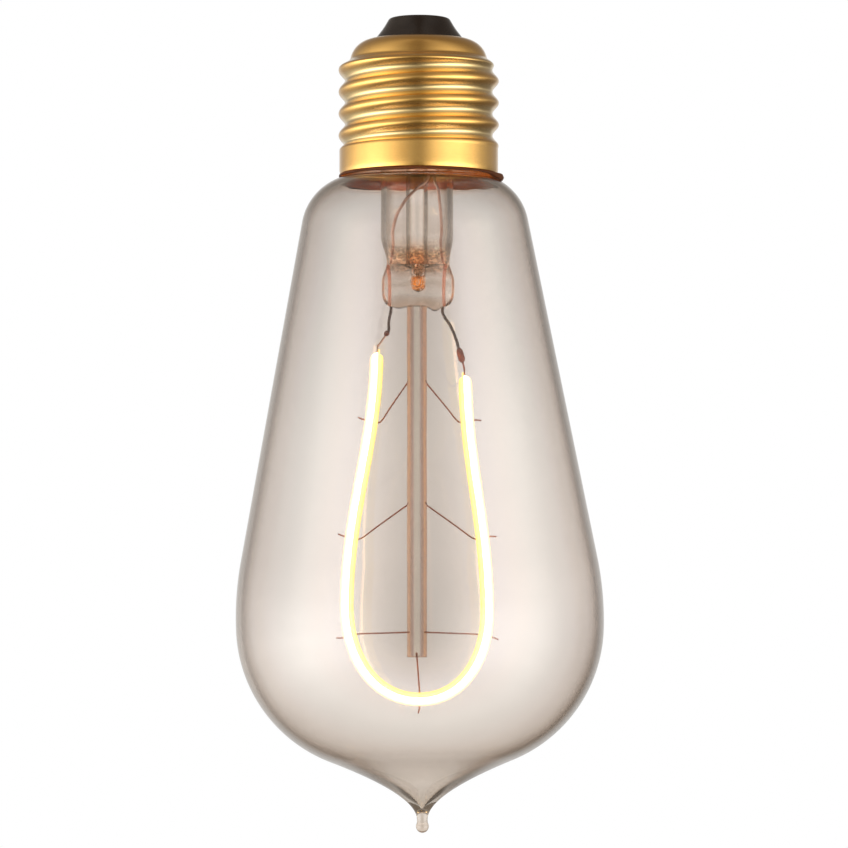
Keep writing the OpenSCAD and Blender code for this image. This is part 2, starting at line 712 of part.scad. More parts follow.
module stem_press() {
    bore_end_z = -blow_hole_depth - blow_hole_d / 2 - bore_sump;
    color("#e6e2da", 0.5)
        mount_place()
            difference() {
                cut_to(press_front, press_side)
                    rotate_extrude()
                        polygon([
                            [0, stem_end_z], [stem_r, stem_end_z], [stem_r, -waist_depth],
                            [press_w / 2 + press_round, press_top_z],
                            [press_w / 2 + press_round, press_end_z - past], [0, press_end_z - past]
                        ]);
                cut_to(
                    hollow_outline(lead_x + lead_d / 2 + floor_play),
                    hollow_outline(exhaust_d / 2 + floor_play)
                )
                    translate([0, 0, floor_z - past])
                        cylinder(h = stem_end_z - floor_z + 2 * past, r = hollow_r);
                translate([0, 0, bore_end_z])
                    cylinder(h = floor_z + past - bore_end_z, d = exhaust_bore);
                translate([0, 0, -blow_hole_depth])
                    rotate([90, 0, 0])
                        cylinder(h = waist_t, d = blow_hole_d);
                for (side = [-1, 1])
                    translate([side * lead_x, 0, press_end_z - past])
                        cylinder(h = press_end_depth, d = seal_wire_d + 2 * wire_gap);
            }
}

module exhaust_tube() {
    top_z = -exhaust_top_depth - exhaust_d / 2;
    color("#e6e2da", 0.5)
        mount_place()
            difference() {
                union() {
                    translate([0, 0, floor_z])
                        cylinder(h = top_z - floor_z, d = exhaust_d);
                    translate([0, 0, top_z])
                        sphere(d = exhaust_d);
                }
                translate([0, 0, floor_z - past])
                    cylinder(h = top_z - floor_z + past, d = exhaust_bore);
            }
}

// Each support is drawn from its place on the rod to its hook round the filament's back edge: it comes past the
// inner layer at hook_start, crosses the edge and comes forward with its tail
hook_start = 0.4;
hook_straight = 0.6;
tail_drop = 0.8;
tail_sag = 0.2;
bottom_s = path_s[2 * curve_steps];
back_y = strip_w / 2 + support_d / 2 + hook_gap;
function hook_route(start, s) =
    let(c = along(s), n = outward(s))
    let(near = lift(c - n * (backing_t + inner_layer_t + hook_start), back_y))
    let(u = unit(near - start))
    let(far = c + n * (outer_layer_t + support_d / 2 + hook_gap))
    [
        start - u * support_seat, start + (near - start) * hook_straight, near, lift(c, back_y),
        lift(far, back_y), lift(c + n * (outer_layer_t + hook_reach) - heading(s) * tail_sag, back_y - tail_drop)
    ];
function strand_s(way, depth) = lookup(depth, way < 0 ? left_half : right_half);
function support_route(way, rod_depth, hook_depth) =
    hook_route([way * rod_r, 0, -rod_depth], strand_s(way, hook_depth));
upper_left_route = support_route(-1, upper_rod_depth, upper_hook_depth);
upper_right_route = support_route(1, upper_rod_depth, upper_hook_depth);
middle_left_route = support_route(-1, middle_rod_depth, middle_hook_depth);
middle_right_route = support_route(1, middle_rod_depth, middle_hook_depth);
lower_left_route = support_route(-1, lower_rod_depth, lower_hook_depth);
lower_right_route = support_route(1, lower_rod_depth, lower_hook_depth);
bottom_route = hook_route([0, 0, -rod_end_depth], bottom_s);

module support(route, ref) {
    color("#5a4032")
        mount_place()
            wire(route, support_d, ref);
}

module upper_left_support() { support(upper_left_route, [0, 0, 1]); }
module upper_right_support() { support(upper_right_route, [0, 0, 1]); }
module middle_left_support() { support(middle_left_route, [0, 0, 1]); }
module middle_right_support() { support(middle_right_route, [0, 0, 1]); }
module lower_left_support() { support(lower_left_route, [0, 0, 1]); }
module lower_right_support() { support(lower_right_route, [0, 0, 1]); }
module bottom_support() { support(bottom_route, [1, 0, 0]); }

// Hole for a support's sunk end, from a point just inside the end out past the rod's face
module support_hole(route) {
    u = unit(route[1] - route[0]);
    pin(route[0] - u * wire_gap, route[0] + u * (support_seat + rod_r), support_d + 2 * wire_gap);
}

module mount_rod() {
    color("#dcd8d0", 0.5)
        mount_place()
            difference() {
                translate([0, 0, -rod_end_depth])
                    cylinder(h = rod_end_depth - press_end_depth, d = rod_d);
                for (route = [
                    upper_left_route, upper_right_route, middle_left_route, middle_right_route,
                    lower_left_route, lower_right_route, bottom_route
                ])
                    support_hole(route);
            }
}

module left_outer_lead() {
    color("peru")
        mount_place()
            wire(spline(left_outer_route, 2), lead_d, [1, 0, 0]);
}

module right_outer_lead() {
    color("peru")
        mount_place()
            wire(spline(right_outer_route, 2), lead_d, [0, 1, 0]);
}

module seal_wire(side) {
    color("#b5562f")
        mount_place()
            translate([side * lead_x, 0, press_end_z])
                cylinder(h = floor_z - press_end_z, d = seal_wire_d);
}

module left_seal_wire() { seal_wire(-1); }
module right_seal_wire() { seal_wire(1); }

module left_inner_lead() {
    color("#4a3a30")
        mount_place()
            wire(left_inner_route, inner_lead_d, [0, 1, 0]);
}

module right_inner_lead() {
    color("#4a3a30")
        mount_place()
            wire(right_inner_route, inner_lead_d, [0, 1, 0]);
}

module joint_sleeve(c, n, len, d) {
    bore_d = max(inner_lead_d, tail_wire_d) + 2 * wire_gap;
    color("#9a4a2c")
        mount_place()
            difference() {
                pin(c - n * len / 2, c + n * len / 2, d);
                pin(c - n * len, c + n * len, bore_d);
            }
}

module left_joint() { joint_sleeve(left_joint_c, left_joint_n, left_joint_len, left_joint_d); }
module right_joint() { joint_sleeve(right_joint_c, right_joint_n, right_joint_len, right_joint_d); }

// A flat tab on the backing's bare end, and the tail wire that runs from it into the joint sleeve; way is -1 at
// the left end and 1 at the right one
module terminal(end_s, way, joint_c, joint_n, joint_len) {
    off_end = heading(end_s) * way;
    tab_line = along(end_s) + outward(end_s) * (chip_gap + tab_t / 2);
    tab_tip = tab_line + off_end * (tab_len - outer_bare + chip_gap);
    color("#c46a3c")
        mount_place()
            union() {
                translate(lift(tab_tip - off_end * tab_len / 2))
                    rotate([0, -atan2(off_end[1], off_end[0]), 0])
                        cube([tab_len, tab_w, tab_t], center = true);
                wire([
                    joint_c + joint_n * wire_gap,
                    joint_c + joint_n * (joint_len / 2 + joint_straight),
                    lift(tab_tip - off_end * tail_wire_d)
                ], tail_wire_d, [0, 1, 0]);
            }
}

module left_terminal() {
    terminal(0, -1, left_joint_c, left_joint_n, left_joint_len);
}

module right_terminal() {
    terminal(filament_len, 1, right_joint_c, right_joint_n, right_joint_len);
}

module filament_backing() {
    color("#e8c66a")
        mount_place()
            slab(band(0, filament_len, -backing_t, 0), strip_w);
}

module led_chips() {
    color("#3f6fb5")
        mount_place()
            for (i = [0:chip_count])
                on_strip(chip_start + i * chip_pitch, chip_len, chip_w, chip_gap, chip_gap + chip_t);
}

module outer_phosphor() {
    color("#fff3b0")
        mount_place()
            difference() {
                slab(band(outer_bare, filament_len - outer_bare, 0, outer_layer_t), strip_w);
                for (i = [0:chip_count])
                    on_strip(chip_start + i * chip_pitch, chip_len + 2 * chip_gap, chip_w + 2 * chip_gap,
                        -chip_gap, 2 * chip_gap + chip_t);
            }
}

module inner_phosphor() {
    color("#f2e25a")
        mount_place()
            slab(band(inner_bare, filament_len - inner_bare, -backing_t - inner_layer_t, -backing_t), strip_w);
}

module driver_board() {
    color("#2f6b3a")
        translate([0, 0, board_under_z])
            cylinder(h = board_t, d = board_d);
}

// Places of the parts on the board
capacitor_at = [4.6, -3];
rectifier_at = [-3.6, -4];
current_chip_at = [-4.2, 1.4];
resistor_at = [2, 3.8];

module smoothing_capacitor() {
    color("#2b2d33")
        translate([capacitor_at[0], capacitor_at[1], board_z])
            cylinder(h = capacitor_h, d = capacitor_d);
}

// A block that stands on the board with its middle at a place
module board_block(at, len, w, h) {
    translate([at[0] - len / 2, at[1] - w / 2, board_z])
        cube([len, w, h]);
}

module rectifier() {
    color("#202020")
        board_block(rectifier_at, rectifier_len, rectifier_w, rectifier_h);
}

module current_chip() {
    color("#202020")
        board_block(current_chip_at, current_chip_len, current_chip_w, current_chip_h);
}

module fuse_resistor() {
    color("#8fb7c9")
        translate([resistor_at[0], resistor_at[1], board_z + resistor_d / 2])
            rotate([0, 90, 0])
                cylinder(h = resistor_len, d = resistor_d);
}

module centre_wire() {
    color("firebrick")
        wire(spline(centre_wire_route, 2), hookup_d, [0, 1, 0]);
}

module side_wire() {
    color("#303030")
        wire(spline(side_wire_route, 2), hookup_d, [1, 0, 0]);
}

module side_solder() {
    color("lightgray")
        difference() {
            translate(side_joint)
                sphere(d = side_solder_d);
            pin(side_joint - [0, side_solder_d, 0], side_joint - [0, side_solder_d / 4 - wire_gap, 0],
                hookup_d + 2 * wire_gap);
        }
}

screw_shell();
insulator();
contact_eyelet();
contact_solder();
cap_cement();
glass_envelope();
stem_flare();
stem_press();
exhaust_tube();
mount_rod();
left_outer_lead();
right_outer_lead();
left_seal_wire();
right_seal_wire();
left_inner_lead();
right_inner_lead();
left_joint();
right_joint();
left_terminal();
right_terminal();
filament_backing();
led_chips();
outer_phosphor();
inner_phosphor();
upper_left_support();
upper_right_support();
middle_left_support();
middle_right_support();
lower_left_support();
lower_right_support();
bottom_support();
driver_board();
rectifier();
smoothing_capacitor();
current_chip();
fuse_resistor();
centre_wire();
side_wire();
side_solder();
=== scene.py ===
import bmesh
import bpy
import numpy as np
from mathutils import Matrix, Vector


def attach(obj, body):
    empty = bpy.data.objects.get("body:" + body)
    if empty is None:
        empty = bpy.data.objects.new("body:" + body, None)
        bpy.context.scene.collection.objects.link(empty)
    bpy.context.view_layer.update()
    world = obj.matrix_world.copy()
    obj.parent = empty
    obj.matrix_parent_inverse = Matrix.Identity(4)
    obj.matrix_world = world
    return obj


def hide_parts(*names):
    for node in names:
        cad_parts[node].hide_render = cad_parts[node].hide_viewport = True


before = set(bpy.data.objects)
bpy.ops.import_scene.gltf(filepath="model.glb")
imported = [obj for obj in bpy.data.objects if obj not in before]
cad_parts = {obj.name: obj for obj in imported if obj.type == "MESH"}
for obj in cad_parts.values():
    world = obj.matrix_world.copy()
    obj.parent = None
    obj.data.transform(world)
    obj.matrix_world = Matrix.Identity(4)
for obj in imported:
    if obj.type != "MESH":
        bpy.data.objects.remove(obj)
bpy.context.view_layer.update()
mm = 0.001
white = (1, 1, 1)
print("frame loaded,", len(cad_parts), "nodes")


class sizes(dict):
    # a dictionary of named values that also reads as attributes
    __getattr__ = dict.__getitem__


# ---- curves and surfaces, all in millimetres until a piece is made

def together(*parts):
    # the parts stretched to a common shape and set side by side as coordinates
    return np.stack(np.broadcast_arrays(*parts), -1)


def turnAngles(count, start=0):
    # even angles once round, in radians
    return (np.arange(count) + start) * 2 * np.pi / count


def pointing(degrees):
    # the unit direction (cosine, sine)
    return np.array([np.cos(np.radians(degrees)), np.sin(np.radians(degrees))])


def arcPoints(centre, radius, startDegrees, endDegrees, count):
    # centre + radius * (cosine, sine) at even angles
    angle = np.radians(np.linspace(startDegrees, endDegrees, count))
    return together(centre[0] + radius * np.cos(angle), centre[1] + radius * np.sin(angle))


def bezierPoints(a, b, c, d, count):
    # a, b, c and d weighted by (1-t)^3, 3t(1-t)^2, 3t^2(1-t) and t^3
    a, b, c, d = (np.asarray(p, float) for p in (a, b, c, d))
    t = np.linspace(0, 1, count)[:, None]
    return a * (1 - t) ** 3 + 3 * b * t * (1 - t) ** 2 + 3 * c * t ** 2 * (1 - t) + d * t ** 3


def ramp(t):
    # smooth step: t^2 (3 - 2t) between 0 and 1
    u = np.clip(t, 0, 1)
    return u * u * (3 - 2 * u)


def lengthsAlong(points):
    # running sum of the distances between neighbours
    return np.concatenate([[0], np.cumsum(np.linalg.norm(np.diff(points, axis=0), axis=1))])


def atLengths(points, lengths):
    # the line's coordinates read at given lengths along it
    s = lengthsAlong(points)
    return np.stack([np.interp(lengths, s, points[:, k]) for k in range(points.shape[1])], -1)


def smoothCurve(points, steps):
    # Catmull-Rom: each span is a cubic whose slopes are half the chord between its neighbours
    p = np.asarray(points, float)
    p = np.concatenate([[2 * p[0] - p[1]], p, [2 * p[-1] - p[-2]]])
    t = (np.arange(steps) / steps)[None, :, None]
    a, b, c, d = (p[k:len(p) - 3 + k][:, None] for k in range(4))
    spans = 0.5 * (2 * b + (c - a) * t + (2 * a - 5 * b + 4 * c - d) * t ** 2 + (3 * b - a - 3 * c + d) * t ** 3)
    return np.concatenate([spans.reshape(-1, p.shape[1]), p[-2:-1]])


def roundedLine(corners, radii, steps=6):
    # each corner is replaced by a quadratic curve that starts and ends its radius away from it
    out = []
    for k, (point, radius) in enumerate(zip(corners, radii)):
        point = np.array(point, float)
        if radius == 0:
            out.append(point[None])
            continue
        before = np.array(corners[k - 1], float) - point
        after = np.array(corners[(k + 1) % len(corners)], float) - point
        reach = min(radius, 0.45 * np.linalg.norm(before), 0.45 * np.linalg.norm(after))
        a = point + before / np.linalg.norm(before) * reach
        b = point + after / np.linalg.norm(after) * reach
        t = np.linspace(0, 1, steps)[:, None]
        out.append(a * (1 - t) ** 2 + 2 * point * t * (1 - t) + b * t ** 2)
    return np.concatenate(out)


def unitRows(v):
    # every row divided by its length
    return v / np.linalg.norm(v, axis=-1, keepdims=True)


def aroundAxis(r, angle, z):
    # (r cos a, r sin a, z)
    return together(r * np.cos(angle), r * np.sin(angle), z)


def revolve(outline, turns):
    # each outline point (r, z) at each angle round the axis
    return aroundAxis(outline[None, :, 0], turnAngles(turns)[:, None], outline[None, :, 1])


def rippled(level, waves, x):
    # level plus a sine of x for each wave's size, rate and shift
    return sum((size * np.sin(rate * x + shift) for size, rate, shift in waves), level)


def sweep(path, radius, sides, reference):
    # path + radius * (side * cosine + up * sine), with side and up square to the path
    tangent = unitRows(np.gradient(path, axis=0))
    side = unitRows(np.cross(tangent, reference))
    up = np.cross(tangent, side)
    angle = turnAngles(sides)[None, :, None]
    ring = side[:, None] * np.cos(angle) + up[:, None] * np.sin(angle)
    return path[:, None] + ring * np.broadcast_to(radius, len(path))[:, None, None]


def wireGrid(points, diameter, reference, steps=10, sides=14, swell=None):
    # a tube along a smooth curve, its radius falling as a half circle over the last radius at each end
    line = smoothCurve(points, steps)
    total = lengthsAlong(line)[-1]
    r = diameter / 2
    ends = r * (1 - np.cos(np.linspace(0, np.pi / 2, 5)))
    inner = np.linspace(r, total - r, max(4, int(total / diameter * 1.5)))
    s = np.unique(np.concatenate([ends, inner, total - ends]))
    fromEnd = np.minimum(s, total - s)
    radius = r * np.sqrt(np.clip(1 - np.clip(1 - fromEnd / r, 0, 1) ** 2, 0, 1))
    if swell is not None:
        radius = radius * swell(s / total)
    return sweep(atLengths(line, s), radius, sides, reference)


def lobedSection(halfWidth, halfThickness, squareness, z, turns):
    # (a |cos|^q, b |sin|^q, z), signs kept: an ellipse that squares up as q falls
    angle = turnAngles(turns, 0.5)[:, None]
    c, s = np.cos(angle), np.sin(angle)
    return together(halfWidth * np.sign(c) * np.abs(c) ** squareness,
        halfThickness * np.sign(s) * np.abs(s) ** squareness, z)


def gridFaces(points, wrapRows, wrapColumns):
    # each cell of the grid joins its four corners, and a wrapped direction closes on its first line
    rows, columns = points.shape[:2]
    i = np.arange(rows if wrapRows else rows - 1)[:, None]
    j = np.arange(columns if wrapColumns else columns - 1)[None, :]
    iNext, jNext = (i + 1) % rows, (j + 1) % columns
    corners = (i * columns + j, i * columns + jNext, iNext * columns + jNext, iNext * columns + j)
    return together(*corners).reshape(-1, 4)


def addObject(name, data):
    thing = bpy.data.objects.new(name, data)
    bpy.context.scene.collection.objects.link(thing)
    return thing


def makePiece(name, grids, material, slotName, replaced=None, sharpDegrees=60, place=None):
    # grids are (points, wrapRows, wrapColumns); the sign of the enclosed volume turns faces outwards
    weldGap, leastEdge = 2e-8, 1e-9
    vertices, faces, first = [], [], 0
    for points, wrapRows, wrapColumns in grids:
        quads = gridFaces(points, wrapRows, wrapColumns)
        flat = points.reshape(-1, 3)
        if place is not None:
            flat = place(flat)
        rows, columns = points.shape[:2]
        local = flat - flat.mean(0)
        a, b, c, d = (local[quads[:, k]] for k in range(4))
        volume = (np.cross(a, b) * c).sum() + (np.cross(a, c) * d).sum()
        caps = []
        if wrapColumns and not wrapRows:
            caps = [list(range(columns))[::-1], list(range((rows - 1) * columns, rows * columns))]
            fans = local[np.array([[cap[0], cap[k], cap[k + 1]] for cap in caps for k in range(1, columns - 1)])]
            volume += (np.cross(fans[:, 0], fans[:, 1]) * fans[:, 2]).sum()
        turned = slice(None, None, -1 if volume < 0 else 1)
        faces += [row[turned] for row in (quads + first).tolist()]
        faces += [[k + first for k in cap][turned] for cap in caps]
        vertices.append(flat)
        first += len(flat)
    mesh = bpy.data.meshes.new(name)
    mesh.from_pydata((np.concatenate(vertices) * mm).tolist(), [], faces)
    work = bmesh.new()
    work.from_mesh(mesh)
    bmesh.ops.remove_doubles(work, verts=work.verts, dist=weldGap)
    bmesh.ops.dissolve_degenerate(work, edges=work.edges, dist=leastEdge)
    work.to_mesh(mesh)
    work.free()
    mesh.polygons.foreach_set("use_smooth", np.ones(len(mesh.polygons), bool))
    mesh.set_sharp_from_angle(angle=np.radians(sharpDegrees))
    mesh.materials.append(bpy.data.materials[material])
    piece = addObject(name, mesh)
    if replaced is None:
        # screwShell stands for screw_shell, and so on
        replaced = ["".join("_" + letter.lower() if letter.isupper() else letter for letter in name)]
    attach(piece, "root")
    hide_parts(*replaced)
    return piece


# ---- material tools

class shaderTree:
    # a node tree with short ways to add nodes: a value may be a number, a colour or another node's socket
    def __init__(self, owner):
        self.nodes, self.links = owner.nodes, owner.links

    def fill(self, node, values):
        for label, value in values.items():
            socket = node.inputs[label]
            if hasattr(value, "is_linked"):
                self.links.new(value, socket)
            else:
                socket.default_value = (*value, 1) if socket.type == "RGBA" else value

    def node(self, kind, values=None, **settings):
        node = self.nodes.new("ShaderNode" + kind)
        for label, setting in settings.items():
            setattr(node, label, setting)
        self.fill(node, values or {})
        return node

    def math(self, operation, *values):
        return self.node("Math", dict(enumerate(values)), operation=operation).outputs[0]

    def times(self, a, b):
        return self.math("MULTIPLY", a, b)

    def mix(self, factor, a, b, blend="MIX"):
        return self.node("Mix", {0: factor, 6: a, 7: b}, data_type="RGBA", blend_type=blend).outputs[2]

    def product(self, a, b):
        return self.mix(1, a, b, "MULTIPLY")

    def range(self, value, fromLow, fromHigh, toLow, toHigh, interpolation="LINEAR"):
        values = dict(enumerate((value, fromLow, fromHigh, toLow, toHigh)))
        return self.node("MapRange", values, interpolation_type=interpolation).outputs[0]

    def eased(self, *values):
        # the same mapping eased in and out
        return self.range(*values, "SMOOTHSTEP")

    def between(self, value, low, high, soft):
        # 1 between low and high, eased to 0 over the soft width on either side
        return self.times(self.eased(value, low - soft, low, 0, 1), self.eased(value, high, high + soft, 1, 0))

    def colours(self, value, stops):
        # a stop is its place and three levels, or one for a grey
        node = self.node("ValToRGB", {0: value})
        elements = node.color_ramp.elements
        while len(elements) < len(stops):
            elements.new(0.5)
        for element, (place, *levels) in zip(elements, stops):
            element.position = place
            element.color = (*(levels * 3)[:3], 1)
        return node.outputs[0]

    def noise(self, scales, scale, detail, roughness):
        # noise on the piece's own metres, each axis multiplied by its share of scale
        place = self.node("TexCoord").outputs["Object"]
        stretched = self.node("Mapping", {"Vector": place, "Scale": scales}).outputs[0]
        return self.node("TexNoise", {"Vector": stretched, "Scale": scale, "Detail": detail,
            "Roughness": roughness}).outputs[0]

    def ownPlace(self):
        # the piece's own x, y, z in millimetres and the distance from the lamp's axis
        place = self.node("TexCoord").outputs["Object"]
        scaled = self.node("VectorMath", {0: place, "Scale": 1 / mm}, operation="SCALE").outputs[0]
        x, y, z = self.node("SeparateXYZ", {0: scaled}).outputs
        return x, y, z, self.math("SQRT", self.math("ADD", self.times(x, x), self.times(y, y)))

    def bump(self, height, strength, distance):
        return self.node("Bump", {"Height": height, "Strength": strength, "Distance": distance}).outputs[0]

    def letThrough(self, shader, mask, colour):
        # the shader mixed with a transparent one where the mask of ray kinds is 1
        clear = self.node("BsdfTransparent", {"Color": colour}).outputs[0]
        mixed = self.node("MixShader", {0: mask, 1: shader.outputs[0], 2: clear}).outputs[0]
        self.links.new(mixed, self.nodes["Material Output"].inputs["Surface"])


def newMaterial(name):
    material = bpy.data.materials.new(name)
    material.use_nodes = True
    tree = shaderTree(material.node_tree)
    return tree, tree.nodes["Principled BSDF"]


noiseSpan = (0.3, 0.7)  # where nearly all of a noise's values lie


def tarnishGroup():
    # cloudy patches, fine grain and round-the-axis spinning marks; Height sums the last two
    group = bpy.data.node_groups.new("tarnishAndGrain", "ShaderNodeTree")
    for label, value in (("Patch Scale", 180), ("Grain Scale", 5000), ("Patch Edge", 0.5), ("Marks", 0.5)):
        socket = group.interface.new_socket(label, in_out="INPUT", socket_type="NodeSocketFloat")
        socket.default_value = value
    for label in ("Patches", "Grain", "Height"):
        group.interface.new_socket(label, in_out="OUTPUT", socket_type="NodeSocketFloat")
    tree = shaderTree(group)
    enter = tree.nodes.new("NodeGroupInput").outputs
    patch = tree.noise(white, enter["Patch Scale"], 5, 0.6)
    grain = tree.noise(white, enter["Grain Scale"], 2, 0.5)
    marks = tree.noise((30, 30, 5200), 1, 3, 0.6)
    edgeWidth = 0.14
    low = tree.math("SUBTRACT", enter["Patch Edge"], edgeWidth)
    high = tree.math("ADD", enter["Patch Edge"], edgeWidth)
    height = tree.math("ADD", tree.times(marks, enter["Marks"]), grain)
    tree.fill(tree.nodes.new("NodeGroupOutput"), {
        "Patches": tree.range(patch, low, high, 0, 1), "Grain": grain, "Height": height})
    return group


tarnish = tarnishGroup()
plainLook = {"patchEdge": 0.52, "patchAmount": 1, "marks": 0, "speckle": 0.08, "metallic": 0, "specular": 0.5,
    "coat": 0, "coatRoughness": 0.1, "bumpDistance": 0.00002}


def surface(name, colour, patchColour, patchScale, grainScale, roughness, bump, **given):
    # base and patch colours mixed by the tarnish mask, roughness from the grain, bump from its height
    look = sizes({**plainLook, **given})
    tree, shader = newMaterial(name)
    effect = tree.nodes.new("ShaderNodeGroup")
    effect.node_tree = tarnish
    tree.fill(effect, {"Patch Scale": patchScale, "Grain Scale": grainScale, "Patch Edge": look.patchEdge,
        "Marks": look.marks})
    patches, grain, height = effect.outputs
    amount = tree.times(patches, look.patchAmount)
    colour = tree.mix(amount, colour, patchColour)
    # painted light and shade: a colour mixed in by a mask of place, where a look gives one
    if "tone" in look:
        colour = tree.mix(look.tone(tree), colour, look.toneColour)
    tree.fill(shader, {
        "Base Color": tree.product(colour, tree.range(grain, *noiseSpan, 1 - look.speckle, 1)),
        "Roughness": tree.range(grain, *noiseSpan, *roughness), "Metallic": look.metallic,
        "Specular IOR Level": look.specular, "Coat Weight": look.coat, "Coat Roughness": look.coatRoughness,
        "Normal": tree.bump(height, bump, look.bumpDistance)})
    # emission: the lit filament's own light, and painted glow on parts that are not lamps
    if "glow" in look:
        glow = tree.mix(amount, look.glow, look.get("glowPatch", look.glow))
        if "fade" in look:
            across = tree.node("Attribute", attribute_name="across").outputs["Fac"]
            glow = tree.product(glow, tree.colours(across, look.fade))
        tree.fill(shader, {"Emission Color": glow, "Emission Strength": look.glowStrength})


# a wall's bump depth in metres, the haze noise, and how many bounces pass before a ray goes straight through
glassWall = sizes(bumpDistance=0.0001, hazeScale=9000, hazeEdge=0.04, rayDepth=9.5, glossyDepth=2.5)


def glass(name, streakScales, streakScale, streakLow, ior, hazeFrom, haze, bump, lampTint, **look):
    # clear glass, tinted once where a ray enters a wall: the tint is read from how edge-on the wall is met, times any
    # painted shade and light the look gives
    look = sizes(look)
    tree, shader = newMaterial(name)
    facing = tree.node("LayerWeight", {"Blend": 0.5}).outputs["Facing"]
    streaks = tree.noise(streakScales, streakScale, 3, 0.5)
    entering = tree.product(tree.colours(facing, look.tints), tree.range(streaks, *noiseSpan, streakLow, 1))
    # painted shade by height, where a look gives levels
    if "levels" in look:
        height = tree.range(tree.ownPlace()[2], *look.levelSpan, 0, 1)
        entering = tree.product(entering, tree.colours(height, look.levels))
    # painted reflection and shade, where a look gives them
    if "stain" in look:
        entering = tree.product(entering, look.stain(tree))
    backfacing = tree.node("NewGeometry").outputs["Backfacing"]
    specks = tree.noise(white, glassWall.hazeScale, 1, 0.5)
    # squared, because the shader takes the root of the base colour
    tree.fill(shader, {
        "Base Color": tree.mix(backfacing, tree.product(entering, entering), white),
        "Transmission Weight": 1, "IOR": ior,
        "Roughness": tree.range(specks, hazeFrom, hazeFrom + glassWall.hazeEdge, 0, haze),
        "Normal": tree.bump(streaks, bump, glassWall.bumpDistance)})
    # painted glow, where a look gives one
    if "glow" in look:
        tree.fill(shader, {"Emission Color": look.glow(tree), "Emission Strength": 1})
    ray = tree.node("LightPath").outputs
    lamps = ray["Is Shadow Ray"]
    deep = tree.math("MAXIMUM", tree.math("GREATER_THAN", ray["Ray Depth"], glassWall.rayDepth),
        tree.math("GREATER_THAN", ray["Glossy Depth"], glassWall.glossyDepth))
    tree.letThrough(shader, tree.math("MAXIMUM", lamps, deep), tree.mix(lamps, white, lampTint))


# ---- masks painted by place, in millimetres: painted highlights, glints, reflections and shade

# groove: where the painted highlight lies in the thread's grooves
groove = sizes(radii=(12.35, 12.95), heights=(-22, -7.6), soft=0.6)
# rim radii: where the painted shade on the cement's edge begins and where it is full
shadedRimRadii = (12.6, 12.95)
# the glint, the reflection spots, the sparks and the press bands place painted reflections, highlights and shade on
# the stem
glint = sizes(sides=(-0.9, 0.8), heights=(-45, -43.3), soft=0.5, depths=(-0.2, 0.1), broken=(0.4, 0.56))
reflectionFlecks = sizes(noiseScale=1500, span=(0.4, 0.62), levels=(0.72, 1.2), heights=(-42.2, -38.6), soft=0.7)
sparks = sizes(noiseScale=1900, span=(0.56, 0.68), heights=(-41.6, -38.6), soft=0.5, strength=0.5)
pressSpan, pressWander = (-48.5, -36), (-0.9, 0.9)
# the press's painted reflection and shade bands, 0 at the span's upper end and 1 at its lower end
pressBands = [
    (0.06, 1), (0.15, 1, 0.93, 0.88), (0.27, 0.94, 0.77, 0.63), (0.37, 0.92, 0.74, 0.6),
    (0.42, 0.74, 0.54, 0.41), (0.475, 0.62, 0.45, 0.33), (0.52, 0.84, 0.71, 0.62), (0.6, 1, 0.95, 0.9),
    (0.67, 0.88, 0.81, 0.74), (0.73, 1, 0.96, 0.92), (0.8, 1, 0.98, 0.95), (0.86, 0.84, 0.77, 0.71),
    (0.93, 0.8, 0.68, 0.58)]


def grooveHighlight(tree):
    # painted highlight: paler metal down in the thread's grooves, whitening the bright reflection there
    z, radius = tree.ownPlace()[2:]
    low = tree.eased(radius, *groove.radii, 1, 0)
    return tree.times(low, tree.between(z, *groove.heights, groove.soft))


def rimShade(tree):
    # painted shade: the cement's squeezed-out edge is darker than the part behind the glass, which is left looking lit
    # by the filament
    return tree.eased(tree.ownPlace()[3], *shadedRimRadii, 0, 1)


def glintMask(tree):
    # painted glint: where the lit filament's orange glint is painted in the blow hole, broken up by noise
    x, y, z = tree.ownPlace()[:3]
    hole = tree.times(tree.between(x, *glint.sides, glint.soft), tree.between(z, *glint.heights, glint.soft))
    front = tree.times(hole, tree.eased(y, *glint.depths, 1, 0))
    busy = tree.noise(white, sparks.noiseScale, 3, 0.6)
    return tree.times(front, tree.eased(busy, *glint.broken, 0.3, 1))


def stemPaintedLight(tree):
    # painted reflection and shade: bands along the press, bent by noise: copper from the seal wires mirrored in the
    # glass, paler lower down, with painted reflection spots and the painted orange glint
    z = tree.ownPlace()[2]
    wander = tree.noise(white, 420, 2, 0.5)
    bent = tree.math("ADD", z, tree.range(wander, 0, 1, *pressWander))
    bands = tree.colours(tree.range(bent, *pressSpan, 1, 0), pressBands)
    busy = tree.noise((1, 1, 1.6), reflectionFlecks.noiseScale, 3, 0.6)
    light = tree.eased(busy, *reflectionFlecks.span, *reflectionFlecks.levels)
    band = tree.between(z, *reflectionFlecks.heights, reflectionFlecks.soft)
    paintedBands = tree.product(bands, tree.mix(band, white, light))
    return tree.mix(glintMask(tree), paintedBands, (1, 0.4, 0.1))


def stemGlow(tree):
    # painted glow: the glint itself, and a few painted copper highlights above it
    z = tree.ownPlace()[2]
    busy = tree.noise(white, sparks.noiseScale, 3, 0.6)
    lit = tree.times(tree.between(z, *sparks.heights, sparks.soft), tree.eased(busy, *sparks.span, 0, 1))
    glow = tree.mix(glintMask(tree), (0, 0, 0), (0.22, 0.06, 0))
    return tree.mix(tree.times(lit, sparks.strength), glow, (0.5, 0.25, 0.14))


# ---- materials
# surface: base and patch colours, patch and grain scales, roughness from and to, bump, then what differs from plain
# glass: streak stretch, scale and darkest level, index of refraction, haze threshold and roughness, bump, lamp tint

